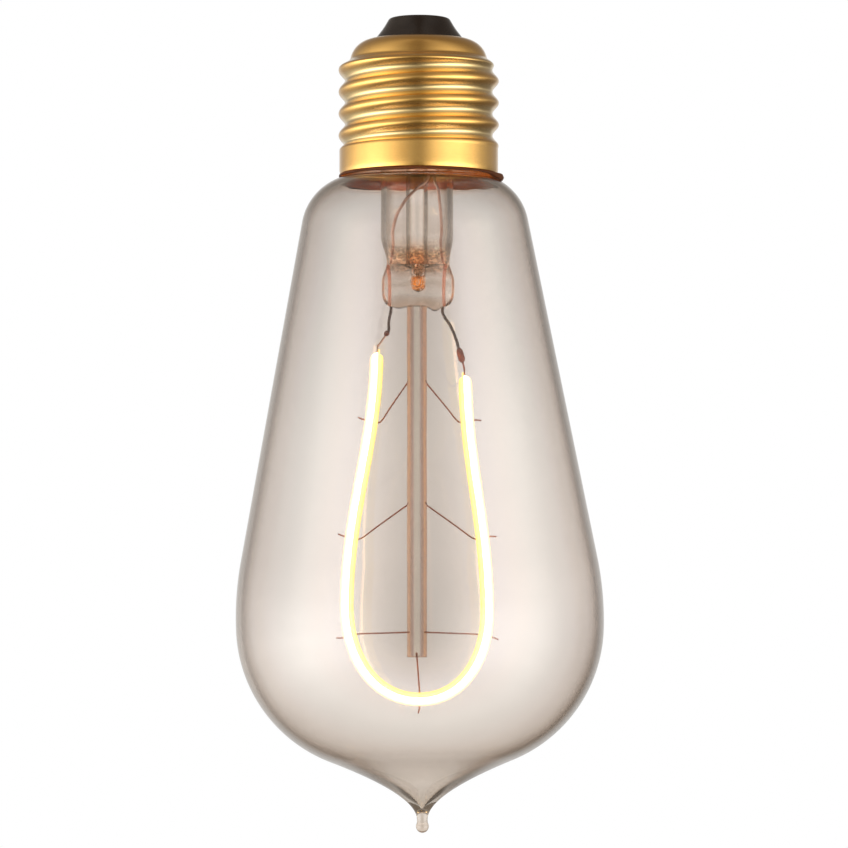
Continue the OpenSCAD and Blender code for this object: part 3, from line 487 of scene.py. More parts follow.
# spun brass, with a painted highlight in the thread's grooves
surface("spunBrass", (0.91, 0.53, 0.14), (0.8, 0.41, 0.085), 160, 6000, (0.17, 0.25), 0.12, patchEdge=0.56,
    patchAmount=0.5, speckle=0.05, metallic=1, marks=1.2, coat=0.6, tone=grooveHighlight, toneColour=(0.93, 0.68, 0.3))
surface("blackGlass", (0.01, 0.006, 0.004), (0.018, 0.012, 0.008), 260, 3000, (0.1, 0.16), 0.06, speckle=0.1,
    specular=0.4)
surface("tinnedMetal", (0.66, 0.65, 0.62), (0.48, 0.46, 0.42), 420, 5000, (0.28, 0.42), 0.25, metallic=1, marks=0.6)
surface("dullSolder", (0.52, 0.52, 0.52), (0.34, 0.34, 0.35), 900, 4500, (0.35, 0.5), 0.4, metallic=1)
# cement, with painted shade on its squeezed-out edge
surface("brownCement", (0.95, 0.34, 0.08), (0.66, 0.2, 0.03), 330, 2600, (0.4, 0.65), 0.7, patchEdge=0.5,
    bumpDistance=0.00008, speckle=0.35, specular=0.12, tone=rimShade, toneColour=(0.13, 0.045, 0.018))
surface("bareCopper", (0.74, 0.5, 0.42), (0.5, 0.28, 0.21), 700, 7000, (0.25, 0.4), 0.2, metallic=1)
# seal wires, with a painted glow
surface("sealCopper", (0.9, 0.52, 0.42), (0.66, 0.3, 0.22), 600, 7000, (0.3, 0.45), 0.2, metallic=0.4,
    glow=(0.9, 0.42, 0.28), glowStrength=0.22)
surface("darkWire", (0.16, 0.115, 0.095), (0.09, 0.06, 0.05), 800, 8000, (0.35, 0.5), 0.3, metallic=0.8)
surface("weldedCopper", (0.42, 0.11, 0.05), (0.16, 0.05, 0.03), 900, 6000, (0.35, 0.55), 0.6, metallic=0.6)
surface("supportWire", (0.3, 0.12, 0.085), (0.44, 0.18, 0.12), 500, 9000, (0.35, 0.5), 0.2, metallic=0.7)
surface("litPhosphor", (0.95, 0.8, 0.45), (0.92, 0.74, 0.38), 900, 7000, (0.4, 0.6), 0.3, glow=(1, 0.72, 0.4),
    glowPatch=(1, 0.68, 0.35), glowStrength=8,
    fade=[(0, 0.5, 0.5, 0.35), (0.2, 1), (0.5, 0.8, 0.8, 0.85), (0.75, 0.24, 0.26, 0.32),
        (0.92, 0.14, 0.145, 0.18), (1, 0.125, 0.125, 0.15)])
surface("innerPhosphorGlow", (0.92, 0.78, 0.2), (0.86, 0.7, 0.15), 700, 7000, (0.4, 0.6), 0.3, glow=(1, 1, 0.36),
    glowPatch=(1, 0.93, 0.28), glowStrength=1.5, fade=[(0, 1), (0.6, 0.9, 0.85, 0.75), (1, 0.65, 0.42, 0.35)])
surface("flexBacking", (0.9, 0.72, 0.3), (0.8, 0.6, 0.22), 800, 6000, (0.35, 0.5), 0.2, glow=(1, 0.85, 0.3),
    glowStrength=1.1)
surface("blueChip", (0.08, 0.16, 0.55), (0.12, 0.25, 0.7), 1500, 8000, (0.1, 0.2), 0.1)
surface("greenBoard", (0.03, 0.14, 0.05), (0.05, 0.2, 0.08), 500, 5000, (0.25, 0.4), 0.25, coat=0.5)
surface("blackResin", (0.018, 0.018, 0.018), (0.03, 0.03, 0.03), 700, 6000, (0.45, 0.6), 0.3)
surface("darkSleeve", (0.03, 0.03, 0.045), (0.05, 0.05, 0.07), 300, 5000, (0.2, 0.3), 0.1, coat=0.3)
surface("paleLacquer", (0.3, 0.48, 0.56), (0.24, 0.4, 0.48), 500, 5000, (0.25, 0.4), 0.25, coat=0.4)
surface("redInsulation", (0.45, 0.03, 0.02), (0.35, 0.02, 0.02), 400, 5000, (0.3, 0.45), 0.2)
surface("blackInsulation", (0.02, 0.02, 0.02), (0.03, 0.03, 0.03), 400, 5000, (0.3, 0.45), 0.2)

# tints run from a wall met square on (0) to edge-on (1); levels, from the tip (0) up to the neck (1), are painted
# shade that darkens the glass toward the tip and the neck and warms it at the neck
glass("bulbGlass", (1, 1, 0.25), 90, 0.99, 1.47, 0.66, 0.2, 0.02, (0.85, 0.82, 0.8), levelSpan=(-134.5, -22.5),
    tints=[(0, 0.82, 0.77, 0.72), (0.04, 0.9, 0.84, 0.79), (0.1, 0.96, 0.91, 0.88), (0.17, 0.97, 0.92, 0.88),
        (0.25, 0.96, 0.92, 0.88), (0.35, 0.93, 0.89, 0.85), (0.45, 0.92, 0.87, 0.83),
        (0.55, 0.91, 0.85, 0.8), (0.65, 0.9, 0.84, 0.79), (0.75, 0.75, 0.66, 0.59),
        (0.85, 0.52, 0.44, 0.38), (1, 0.57, 0.48, 0.4)],
    levels=[(0.004, 0.72, 0.63, 0.54), (0.036, 0.7, 0.66, 0.61), (0.054, 0.82, 0.79, 0.75),
        (0.076, 1, 0.995, 0.98), (0.2, 0.985), (0.3, 0.92, 0.92, 0.925),
        (0.576, 0.915, 0.92, 0.925), (0.665, 0.89, 0.895, 0.9), (0.79, 0.86, 0.86, 0.865),
        (0.897, 0.83), (0.954, 0.82), (0.965, 0.86, 0.58, 0.4)])
# stem glass, with painted reflections, shade and glow on its press
glass("stemGlass", (1, 1, 0.2), 260, 0.97, 1.5, 0.75, 0.1, 0.03, (0.92, 0.9, 0.87), stain=stemPaintedLight, glow=stemGlow,
    tints=[(0, 1, 0.975, 0.95), (0.3, 0.99, 0.96, 0.93), (0.45, 0.84, 0.79, 0.74), (0.6, 0.74, 0.67, 0.6),
        (0.85, 0.68, 0.6, 0.52), (1, 0.75, 0.68, 0.6)])
glass("rodGlass", (1, 1, 0.1), 400, 0.96, 1.5, 0.75, 0.1, 0.02, (0.92, 0.9, 0.87),
    tints=[(0, 0.97, 0.94, 0.86), (0.03, 0.9, 0.85, 0.78), (0.06, 0.72, 0.62, 0.57),
        (0.11, 0.57, 0.43, 0.38), (0.18, 0.61, 0.43, 0.35), (0.28, 0.76, 0.5, 0.37),
        (0.5, 0.86, 0.58, 0.42), (1, 0.9, 0.7, 0.56)])
print("materials made")


# ---- cap: shell, insulator, centre contact and its solder

shell = sizes(crest=26.4, root=24.3, rootSharp=1.05, pitch=3.62, crestDepth=14.2, endDepth=22.1, startDepth=6.8,
    runIn=1.6, runOut=1.3, skirt=26.1, rimDepth=26.15, rimTurn=0.12, rimHeight=0.9, rimRound=0.1,
    rimSteps=(1.6, 0.9, 0.5, 0.25, 0.1), wall=0.3, lip=15.2, lipDepth=3.8, lipRound=0.12, domeRadius=3.7, turns=264)
domeZ = -shell.lipDepth - shell.domeRadius


def makeScrewShell():
    # radius = crest - (crest - root) * ((1 - cos(turns of thread - angle)) / 2)^sharpness, blended into dome and skirt
    k = shell
    startDegrees = np.degrees(np.arcsin((-k.startDepth - domeZ) / k.domeRadius))
    angle = turnAngles(k.turns)[:, None]

    def threadRadius(z):
        phase = 2 * np.pi * (z + k.crestDepth) / k.pitch - angle
        wave = k.crest / 2 - (k.crest - k.root) / 2 * ((1 - np.cos(phase)) / 2) ** k.rootSharp
        dome = k.lip / 2 + np.sqrt(k.domeRadius ** 2 - np.clip(z - domeZ, 0, 3) ** 2)
        enter = ramp((-k.startDepth - z) / k.runIn)
        leave = ramp((k.runOut - k.endDepth - z) / k.runOut)
        return (dome * (1 - enter) + wave * enter) * (1 - leave) + k.skirt / 2 * leave

    def sheet(inset, count):
        dome = arcPoints((k.lip / 2, domeZ), k.domeRadius - inset, 90, startDegrees, 18)
        z = np.linspace(-k.startDepth, -k.endDepth, count)[1:][None]
        skirtZ = np.array(k.rimSteps) - k.rimDepth
        turnedIn = ramp((k.rimHeight - (skirtZ + k.rimDepth)) / k.rimHeight) ** 2
        skirtR = k.skirt / 2 - inset - k.rimTurn * turnedIn
        domeR, skirtR = (np.tile(r, (len(angle), 1)) for r in (dome[:, 0], skirtR))
        r = np.concatenate([domeR, threadRadius(z) - inset, skirtR], 1)
        return aroundAxis(r, angle, np.concatenate([dome[:, 1], z[0], skirtZ]))

    outside, inside = sheet(0, 210), sheet(k.wall, 100)[:, ::-1]
    rim = (outside[:, -1:] + inside[:, :1]) / 2 - np.array([0, 0, k.rimRound])
    lip = (outside[:, :1] + inside[:, -1:]) / 2
    lip[..., :2] *= 1 - k.lipRound / (k.lip / 2)
    grid = np.concatenate([outside, rim, inside, lip], 1)
    makePiece("screwShell", [(grid, True, True)], "spunBrass", "brass")


insulatorForm = sizes(topRadius=4.95, topDepth=0.2, topX=0.1, topRise=0.25, waistRadius=5.9, waistDepth=1.85,
    edgeRadius=7.4, edgeDepth=3.8, footRadius=10.9, footWidth=1.5, boreRadius=1.33, boreDepth=6, collarRadius=2.6,
    corner=0.4, waistCorner=1.2, gap=0.1, clearance=0.3)


def makeInsulator():
    # an outline with rounded corners turned round the axis, its top moved a little sideways
    k = insulatorForm
    under = arcPoints((shell.lip / 2, domeZ), shell.domeRadius - shell.wall - k.gap, 90, 0, 7)
    corners = [(k.boreRadius, -k.topDepth), (k.topRadius, -k.topDepth), (k.waistRadius, -k.waistDepth),
        (k.edgeRadius, -k.edgeDepth), (k.edgeRadius, under[0, 1]), *under.tolist(),
        (k.footRadius - k.footWidth, domeZ), (k.collarRadius, -k.boreDepth), (k.boreRadius, -k.boreDepth)]
    radii = [0.15, k.corner, k.waistCorner, 0.1] + [0] * (len(corners) - 7) + [0.2, 0.3, 0.1]
    grid = revolve(roundedLine(corners, radii), 160)
    wide = ramp((np.linalg.norm(grid[..., :2], axis=-1) - k.boreRadius - k.clearance) / 2)
    grid[..., 0] += k.topX * wide * ramp((grid[..., 2] + k.edgeDepth + k.clearance) / k.topRise)
    makePiece("insulatorButton", [(grid, True, True)], "blackGlass", "insulator", ["insulator"], 35)


# outlines as (radius, z) corners and their rounding: a dished disc with its barrel, and the solder round the wire
contactForm = sizes(
    disc=[(1.3, -0.2), (3.3, -0.2), (3.3, -0.02), (2.2, 0), (1.1, -0.03), (0.9, -0.4), (0.9, -6.6), (1.3, -6.6)],
    discRounding=[0.05, 0.08, 0.12, 0.4, 0.2, 0.2, 0.05, 0.05],
    solder=[(0.33, -6.6), (0.33, -6), (0.9, -6.05), (0.9, -6.6)], solderRounding=[0.1, 0.12, 0.1, 0.15])


def makeContact():
    disc = roundedLine(contactForm.disc, contactForm.discRounding)
    solder = roundedLine(contactForm.solder, contactForm.solderRounding)
    makePiece("contactDisc", [(revolve(disc, 96), True, True)], "tinnedMetal", "contact", ["contact_eyelet"], 40)
    makePiece("contactSolder", [(revolve(solder, 48), True, True)], "dullSolder", "solder", sharpDegrees=40)


makeScrewShell()
makeInsulator()
makeContact()
print("cap made")


# ---- bulb

bulb = sizes(bellyWidth=60.2, bellyDepth=99.1, bellyRadius=52, coneAngle=10.8, shoulderRadius=9.2, cornerDepth=24.5,
    neckRadius=11.2, neckFillet=2.4, bowlTurn=2, bowlRadius=23.9, drawAngle=68.5, drawPull=1.03, tipPull=0.9,
    tipNeck=1.8, tipBead=2.1, tipSolid=2.6, length=134, wall=0.8, neckTopZ=-21.47, neckRound=0.12, neckX=-0.7,
    lean=0.7, pivotZ=-26.15)


def bulbOutline(inset, detail):
    # tangent arcs for neck corner, shoulder, belly and bowl, then a Bezier curve drawn to the tip
    k = bulb
    outwards = pointing(k.coneAngle)
    bellyC = np.array([k.bellyWidth / 2 - k.bellyRadius, -k.bellyDepth])
    cornerC = np.array([k.neckRadius + k.neckFillet, -k.cornerDepth])
    aside = bellyC @ outwards + k.bellyRadius - k.shoulderRadius - cornerC @ outwards
    below = np.sqrt((k.shoulderRadius + k.neckFillet) ** 2 - aside ** 2)
    down = outwards * aside + np.array([outwards[1], -outwards[0]]) * below
    cornerA = np.degrees(np.arctan2(down[1], down[0])) + 360
    bowlC = bellyC + (k.bellyRadius - k.bowlRadius) * pointing(-k.bowlTurn)
    body = [arcPoints(cornerC, k.neckFillet + inset, 180, cornerA, 6 * detail),
        arcPoints(cornerC + down, k.shoulderRadius - inset, cornerA - 180, k.coneAngle, 10 * detail),
        arcPoints(bellyC, k.bellyRadius - inset, k.coneAngle, -k.bowlTurn, 10 * detail)[1:],
        arcPoints(bowlC, k.bowlRadius - inset, -k.bowlTurn, -k.drawAngle, 16 * detail)[1:]]
    first = body[-1][-1]
    drawU = -pointing(k.drawAngle)[::-1]
    beadC = np.array([0, -k.length + k.tipBead / 2])
    beadA = np.degrees(np.arccos(k.tipNeck / k.tipBead))
    last = arcPoints(beadC, k.tipBead / 2, beadA, beadA, 1)[0]
    pull = np.array([0, k.tipPull])
    if inset > 0:
        pull, last = np.array([k.tipNeck / 4, k.tipPull / 3]), np.array([0, last[1] + k.tipSolid])
    reach = k.drawPull * first[0] / np.sin(np.radians(k.drawAngle))
    body.append(bezierPoints(first, first + drawU * reach, last + pull, last, 12 * detail)[1:])
    if inset == 0:
        body.append(arcPoints(beadC, k.tipBead / 2, beadA, -90, 6 * detail)[1:])
    return np.concatenate([[[k.neckRadius - inset, k.neckTopZ]], *body])


def leanBulb(points):
    # turned about the Y direction at the neck, then moved sideways
    c, s = pointing(bulb.lean)
    x, z = points[:, 0], points[:, 2] - bulb.pivotZ
    turned = together(x * c - z * s + bulb.neckX, points[:, 1], x * s + z * c)
    return turned + np.array([0, 0, bulb.pivotZ])


def makeBulb():
    # outside and inside outlines joined at the neck's end, turned round the bulb's own axis
    outside, inside = bulbOutline(0, 3), bulbOutline(bulb.wall, 2)
    outside[-1, 0] = inside[-1, 0] = 0
    edge = np.array([[bulb.neckRadius - bulb.wall / 2, bulb.neckTopZ + bulb.neckRound]])
    outline = np.concatenate([outside[::-1], edge, inside])
    makePiece("glassBulb", [(revolve(outline, 288), True, False)], "bulbGlass", "bulb_glass", ["glass_envelope"],
        place=leanBulb)


makeBulb()
print("bulb made")


# ---- cement between skirt and neck

cement = sizes(topDepth=22.6, fillRadius=12.58, skirtRadius=13.05, edgeZ=-26.3, rimZs=(-26.2, -26.17, -26.1),
    gap=0.06, turns=360, waves=((0.2, 3, 1), (0.16, 7, 2.2), (0.1, 17, 0)), out=0.05, waveOut=0.22, waveDown=0.25,
    leftOut=0.1, leftWidth=30, blobAngle=-8, blobWidth=15, blobOut=0.75, blobDown=0.75, tuck=0.1,
    leastFoot=0.15, glassShare=0.3)


def makeCement():
    # a ring whose squeezed-out edge swells by sines of the angle and by one bell-shaped blob at the right
    k = cement
    angle = turnAngles(k.turns)[:, None]
    one = np.ones_like(angle)
    away = (np.degrees(angle) - k.blobAngle + 180) % 360 - 180
    blob = np.exp(-(away / k.blobWidth) ** 2)
    left = np.exp(-((away - 180 + 360) % 360 - 180) ** 2 / k.leftWidth ** 2)
    wave = rippled(0.5, k.waves, angle)
    out = k.out + k.waveOut * wave + k.leftOut * left + k.blobOut * blob
    low = k.edgeZ - k.waveDown * wave - k.blobDown * blob
    glassLine = bulbOutline(0, 3)
    rising = glassLine[:int(len(glassLine) * k.glassShare)]

    def boreRadius(z):
        # the leaning neck's radius with the gap, measured from the cap's axis
        centre = bulb.neckX + (bulb.pivotZ - z) * np.tan(np.radians(bulb.lean))
        glassR = np.interp(-z, -rising[:, 1], rising[:, 0]) + k.gap
        return centre * np.cos(angle) + np.sqrt(glassR ** 2 - (centre * np.sin(angle)) ** 2)

    z = np.linspace(-k.topDepth, k.edgeZ, 16)
    lowZ, s = low - k.tuck, k.skirtRadius
    lowBore = boreRadius(lowZ)
    r = [boreRadius(z), lowBore, np.maximum(lowBore + k.leastFoot, s + out * 0.75), s + out, s + out * 0.8,
        s * one - k.tuck, k.fillRadius * one, k.fillRadius * one]
    heights = [np.tile(z, (len(angle), 1)), lowZ, low - 0.02, (low + k.rimZs[0]) / 2]
    heights += [one * level for level in (*k.rimZs, -k.topDepth)]
    grid = aroundAxis(np.concatenate(r, 1), angle, np.concatenate(heights, 1))
    makePiece("capCement", [(grid, True, True)], "brownCement", "cement", sharpDegrees=50)


makeCement()


# ---- glass stem: flare, tube and press in one, exhaust tube and rod

stem = sizes(x=-0.28, flareTop=-20.4, wall=0.9, rimRadius=11.4, tubeRadius=5.95, flareRadius=4.4, taperZ=-36.3,
    waistZ=-40.6, waistHalf=5.15, waistThick=2.7, pressHalf=5.95, pressThick=2.2, shoulder=3.2, endZ=-47.8,
    corner=1.35, edge=0.8, cornerHeight=2.4, floorZ=-41, floorHalf=4.62, floorThick=1.95, funnelDrop=0.5,
    boreRadius=1.2, boreEndZ=-45.4, boreCup=1.1, square=0.78, lobe=0.55, lobeX=3, lobeWidth=1.15, lobeHeight=1.2,
    lobeUneven=0.35, holeZ=-43.9, holeHalfWidth=1.3, holeHalfHeight=1.3, holeFloor=0.45, pressX=0.2, pressShift=4,
    turns=240)
exhaust = sizes(radius=1.8, bore=1.2, topZ=-18.8, lowZ=-40.95, outerLowZ=-40.7, endZ=-40.98)
rod = sizes(radius=1.65, topZ=-47.86, lowZ=-105.3, drifts=((0.012, 0.21, 0), (0.008, 0.57, 1)),
    top=[(0, -47.82), (1.2, -47.82), (1.6, -47.83)], low=[(1.6, -105.37), (1.5, -105.4), (0.8, -105.4), (0, -105.4)])


def besideAxis(points):
    # the mount stands a little beside the cap's axis
    return points + np.array([stem.x, 0, 0])


def makeMountPiece(*given, **named):
    return makePiece(*given, place=besideAxis, **named)


def makeStem():
    # one run of sections from the press's lower pole up the outside, over the rim and down the hollow to its pole;
    # a section is its half width, half thickness, squareness and z
    k = stem

    def outer(z):
        u = ramp((k.taperZ - z) / (k.taperZ - k.waistZ))
        v = ramp((k.waistZ - z) / k.shoulder)
        w = np.clip((k.endZ + k.cornerHeight - z) / k.cornerHeight, 0, 1)
        fall = 1 - np.sqrt(1 - w * w)
        a = (k.tubeRadius * (1 - u) + k.waistHalf * u) * (1 - v) + k.pressHalf * v - k.corner * fall
        b = (k.tubeRadius * (1 - u) + k.waistThick * u) * (1 - v) + k.pressThick * v - k.edge * fall
        return together(a, b, 1 - (1 - k.square) * u, z)

    def hollow(z):
        u = ramp((k.taperZ - z) / (k.taperZ - k.floorZ))
        r = (k.tubeRadius - k.wall) * (1 - u)
        return together(r + k.floorHalf * u, r + k.floorThick * u, 1 - (1 - k.square) * u, z)

    def roundRows(r, z):
        return together(r, r, 1, z)

    half, thick, square, _ = outer(np.array([k.endZ]))[0]
    t = np.array([0, 0.25, 0.5, 0.7, 0.85, 0.95])
    base = together(half * t, thick * t, square, k.endZ)
    rounding = k.endZ + k.cornerHeight * (1 - np.sin(np.linspace(np.pi / 2, 0, 14)))
    pressZ = np.concatenate([rounding, np.linspace(rounding[-1], k.taperZ, 62)[1:]])
    under = k.flareTop - k.wall
    bendC = (k.tubeRadius + k.flareRadius, under - k.flareRadius)
    tube = roundRows(k.tubeRadius, np.linspace(k.taperZ, bendC[1], 10)[1:])
    flare = np.concatenate([
        arcPoints(bendC, k.flareRadius, 180, 90, 18)[1:],
        arcPoints((k.rimRadius - k.wall / 2, under + k.wall / 2), k.wall / 2, -90, 90, 9),
        arcPoints(bendC, k.flareRadius + k.wall, 90, 180, 18)])
    inner = hollow(np.linspace(bendC[1], k.floorZ, 40)[1:])
    half, thick, square, _ = inner[-1]
    t = np.array([0.3, 0.6, 0.85, 1])
    funnel = together(half * (1 - t) + k.boreRadius * t, thick * (1 - t) + k.boreRadius * t,
        square * (1 - t) + t, k.floorZ - k.funnelDrop * t * t)
    cupZ = k.boreEndZ + k.boreCup
    bore = roundRows(k.boreRadius, np.linspace(k.floorZ - k.funnelDrop, cupZ, 12)[1:])
    cup = arcPoints((0, cupZ), k.boreRadius, 0, -90, 10)[1:]
    cup[-1, 0] = 0
    profile = np.concatenate([base, outer(pressZ), tube, roundRows(*flare.T), inner, funnel, bore, roundRows(*cup.T)])
    grid = lobedSection(*(profile[None, :, n] for n in range(4)), k.turns)
    grid[..., 0] += k.pressX * ramp((k.taperZ - grid[..., 2]) / k.pressShift)
    # two lobes hang from the press's lower edge, and the blow hole is dented into its front
    skin = grid[:, :len(base) + len(pressZ)]
    x, y, z = (skin[..., n].copy() for n in range(3))
    lobes = np.exp(-((np.abs(x) - k.lobeX) / k.lobeWidth) ** 2)
    lobes *= ramp((k.endZ + k.lobeHeight - z) / k.lobeHeight)
    skin[..., 2] = z - k.lobe * lobes * (1 + k.lobeUneven * np.sign(x))
    away = np.sqrt((x / k.holeHalfWidth) ** 2 + ((skin[..., 2] - k.holeZ) / k.holeHalfHeight) ** 2)
    dent = np.clip(1 - away ** 2, 0, 1) ** 1.5
    skin[..., 1] = y + np.where(y < 0, dent * (k.pressThick - k.holeFloor), 0)
    makeMountPiece("glassStem", [(grid, True, False)], "stemGlass", "stem_glass", ["stem_flare", "stem_press"])


def makeExhaustTube():
    # outside and bore turned round the axis, closed by a round end at the top
    k = exhaust
    outerZ, boreZ = np.linspace(k.outerLowZ, k.topZ, 30), np.linspace(k.topZ, k.lowZ, 30)[1:]
    outside = np.concatenate([[(k.radius, k.lowZ)], together(k.radius, outerZ),
        arcPoints((0, k.topZ), k.radius, 0, 90, 12)[1:]])
    inside = np.concatenate([arcPoints((0, k.topZ), k.bore, 90, 0, 10), together(k.bore, boreZ)])
    outside[-1, 0] = inside[0, 0] = 0
    outline = np.concatenate([inside, [((k.radius + k.bore) / 2, k.endZ)], outside])
    makeMountPiece("exhaustTube", [(revolve(outline, 72), True, False)], "stemGlass", "stem_glass")


def makeRod():
    # a glass rod whose radius drifts by two slow sines, with flame-rounded edges at its cut end
    z = np.linspace(rod.topZ, rod.lowZ, 120)
    outline = np.concatenate([rod.top, together(rippled(rod.radius, rod.drifts, z), z), rod.low])
    makeMountPiece("mountRod", [(revolve(outline, 96), True, False)], "rodGlass", "stem_glass", sharpDegrees=40)


makeStem()
makeExhaustTube()
makeRod()
print("stem made")


# ---- filament

filament = sizes(left=(-6.3, -55), leftBelly=(-11.2, -97), bend=(0.4, -112), rightBelly=(11.2, -98.1),
    right=(7.65, -58.8), strandPull=0.37, bendDown=0.5, bendSide=0.66, width=2.6, outer=1.4, inner=0.55, backing=0.25,
    outerBare=0.5, innerBare=0.8, step=0.45, aside=0.4, backCorner=0.4, tipWidth=0.8, leastSquare=0.05,
    outerEdge=(0.6, 1.3), innerEdge=(0.3, 0.9))


def filamentLine():
    # four Bezier curves through the ends, the two widest places and the bend
    k = filament
    bend = np.array(k.bend)

    def strand(end, belly):
        handle = np.array([0, (end[1] - belly[1]) * k.strandPull])
        return bezierPoints(end, end - handle, belly + handle, belly, 80)

    def turn(belly):
        down = np.array([0, (bend[1] - belly[1]) * k.bendDown])
        side = np.array([(belly[0] - bend[0]) * k.bendSide, 0])
        return bezierPoints(belly, belly + down, bend + side, bend, 60)

    left, leftBelly, rightBelly, right = (np.array(k[n]) for n in ("left", "leftBelly", "rightBelly", "right"))
    return np.concatenate([strand(left, leftBelly), turn(leftBelly)[1:], turn(rightBelly)[::-1][1:],
        strand(right, rightBelly)[::-1][1:]])


stripLine = filamentLine()
stripLength = lengthsAlong(stripLine)[-1]


def onStrip(s):
    # place, heading and outward side of the backing's outer face at lengths s along it
    ahead = atLengths(stripLine, np.minimum(s + filament.aside, stripLength))
    heading = unitRows(ahead - atLengths(stripLine, np.maximum(s - filament.aside, 0)))
    return atLengths(stripLine, s), heading, together(heading[:, 1], -heading[:, 0])


def stripGrid(bare, low, high, corner, taper):
    # a rounded rectangle of offset and depth carried along the strip, thinner over the taper at each end
    k = filament
    start, end = bare, stripLength - bare
    tip = taper * np.linspace(0, 1, 9) ** 1.5
    s = np.unique(np.concatenate([start + tip, np.arange(start + taper, end - taper, k.step), end - tip]))
    place, _, out = onStrip(s)
    half, back = k.width / 2, corner * k.backCorner
    box = roundedLine([(low, -half), (high, -half), (high, half), (low, half)], [back, corner, corner, back], 7)[None]
    fromEnd = np.clip(np.minimum(s - start, end - s) / taper, 0, 1)
    squeeze = np.sqrt(np.clip(1 - (1 - fromEnd) ** 2, k.leastSquare, 1))[:, None]
    base = low if abs(low) < abs(high) else high
    offset = base + (box[..., 0] - base) * squeeze
    depth = box[..., 1] * (k.tipWidth + (1 - k.tipWidth) * squeeze)
    return together(place[:, :1] + out[:, :1] * offset, depth, place[:, 1:] + out[:, 1:] * offset)


def makeFilament():
    # two layers of phosphor on the backing, each marked with its depth for the glow to fade by
    k = filament
    outer = stripGrid(k.outerBare, 0, k.outer, *k.outerEdge)
    inner = stripGrid(k.innerBare, -k.backing - k.inner, -k.backing, *k.innerEdge)
    line = besideAxis(np.insert(stripLine, 1, 0, axis=1))[:, [0, 2]]
    for name, grid, material, bottom, depth in (
            ("outer", outer, "litPhosphor", 0, k.outer), ("inner", inner, "innerPhosphorGlow", k.backing, k.inner)):
        layer = makeMountPiece(name + "Phosphor", [(grid, False, True)], material, name + "_phosphor", sharpDegrees=50)
        # across: 0 at the backing to 1 at the layer's far face, the distance from the strip's line
        places = np.array([vertex.co for vertex in layer.data.vertices])[:, [0, 2]] / mm
        away = np.sqrt(((places[:, None] - line[None]) ** 2).sum(2).min(1))
        across = layer.data.attributes.new("across", "FLOAT", "POINT")
        across.data.foreach_set("value", np.clip((away - bottom) / depth, 0, 1).astype(np.float32))


makeFilament()
print("filament made")


# ---- wires: each joint's middle, lean in degrees, length and diameter, then routes and diameters

joints = {"left": ((-4.95, 0, -52.3), 31, 1, 0.95), "right": ((7.2, 0, -55.9), -16, 2.5, 1.2)}
leads = sizes(x=4.25, boardZ=-15.4, wire=0.5, leftInnerWire=0.48, seat=0.05)
terminal = sizes(faceOffset=0.155, past=0.83, length=1.3, halfThick=0.125, halfWide=0.8, foot=0.36, tailWire=0.32,
    overlap=0.2)
supports = sizes(upper=(-60.6, -66.6), middle=(-80.6, -85.8), lower=(-101.3, -101.8), wire=0.26, seat=0.8, reach=1.2,
    gap=0.08, before=0.4, slope=0.6, tailAside=0.2, tailForward=0.8, bottomStart=(0, 0, -105.4))
acrossWire = np.array([0.3, 1, 0.1])


def makeWire(name, points, diameter, material, slotName, reference=acrossWire, *shape):
    makeMountPiece(name, [(wireGrid(points, diameter, reference, *shape), False, True)], material, slotName)


def jointLine(side):
    # middle, direction down the sleeve, length and diameter
    middle, leanDegrees, length, diameter = joints[side]
    a = np.radians(leanDegrees)
    return np.array(middle), np.array([-np.sin(a), 0, -np.cos(a)]), length, diameter


def makeLeads():
    # wires through the stem's bends, swept as round tubes, and a sleeve with two swellings at each joint
    leadX, board = leads.x, leads.boardZ
    outerRoutes = {
        "left": [(1.6, -4, board), (2, -3.3, -21), (1.7, -3, -26.4), (0, -3.1, -28.4), (-1.9, -2.8, -30.6),
            (-3.2, -2, -33), (-3.9, -1, -35.6), (-leadX + 0.2, -0.3, -38), (-leadX, 0, -40.9)],
        "right": [(3.4, 0, board), (3, 0, -22), (2.95, 0, -26.4), (3.5, 0, -28.4), (4, 0, -33.5),
            (leadX - 0.15, 0, -37.6), (leadX, 0, -40.9)]}
    makeWire("leftOuterLead", outerRoutes["left"], leads.wire, "bareCopper", "copper", (1, 0.2, 0))
    makeWire("rightOuterLead", outerRoutes["right"], leads.wire, "bareCopper", "copper")
    innerStarts = {
        "left": [(-leadX, 0, -47.6), (-leadX - 0.02, 0, -48.6), (-4.6, 0, -50.4)],
        "right": [(leadX, 0, -47.6), (leadX, 0, -48.9), (4.62, 0, -49.7), (5.6, 0, -51.2), (6.45, 0, -53.3)]}
    for side, x in (("left", -leadX), ("right", leadX)):
        seal = [(x, 0, -40.98), (x + 0.03 * np.sign(x), 0, -43), (x, 0, -45.5), (x, 0, -47.75)]
        makeWire(side + "SealWire", seal, leads.wire, "sealCopper", "seal_wire")
    for side, wire, enter in (("left", leads.leftInnerWire, 0.7), ("right", leads.wire, 1.4)):
        middle, down, _, _ = jointLine(side)
        inner = innerStarts[side] + [middle - down * enter, middle - down * leads.seat]
        makeWire(side + "InnerLead", inner, wire, "darkWire", "inner_wire")
    for side in joints:
        middle, down, length, diameter = jointLine(side)
        sleeve = middle + down * length * np.linspace(-0.5, 0.5, 9)[:, None]
        makeWire(side + "Joint", sleeve, diameter, "weldedCopper", "joint_metal", acrossWire, 4, 20,
            lambda u: 0.86 + 0.14 * np.cos(9 * u) ** 2)


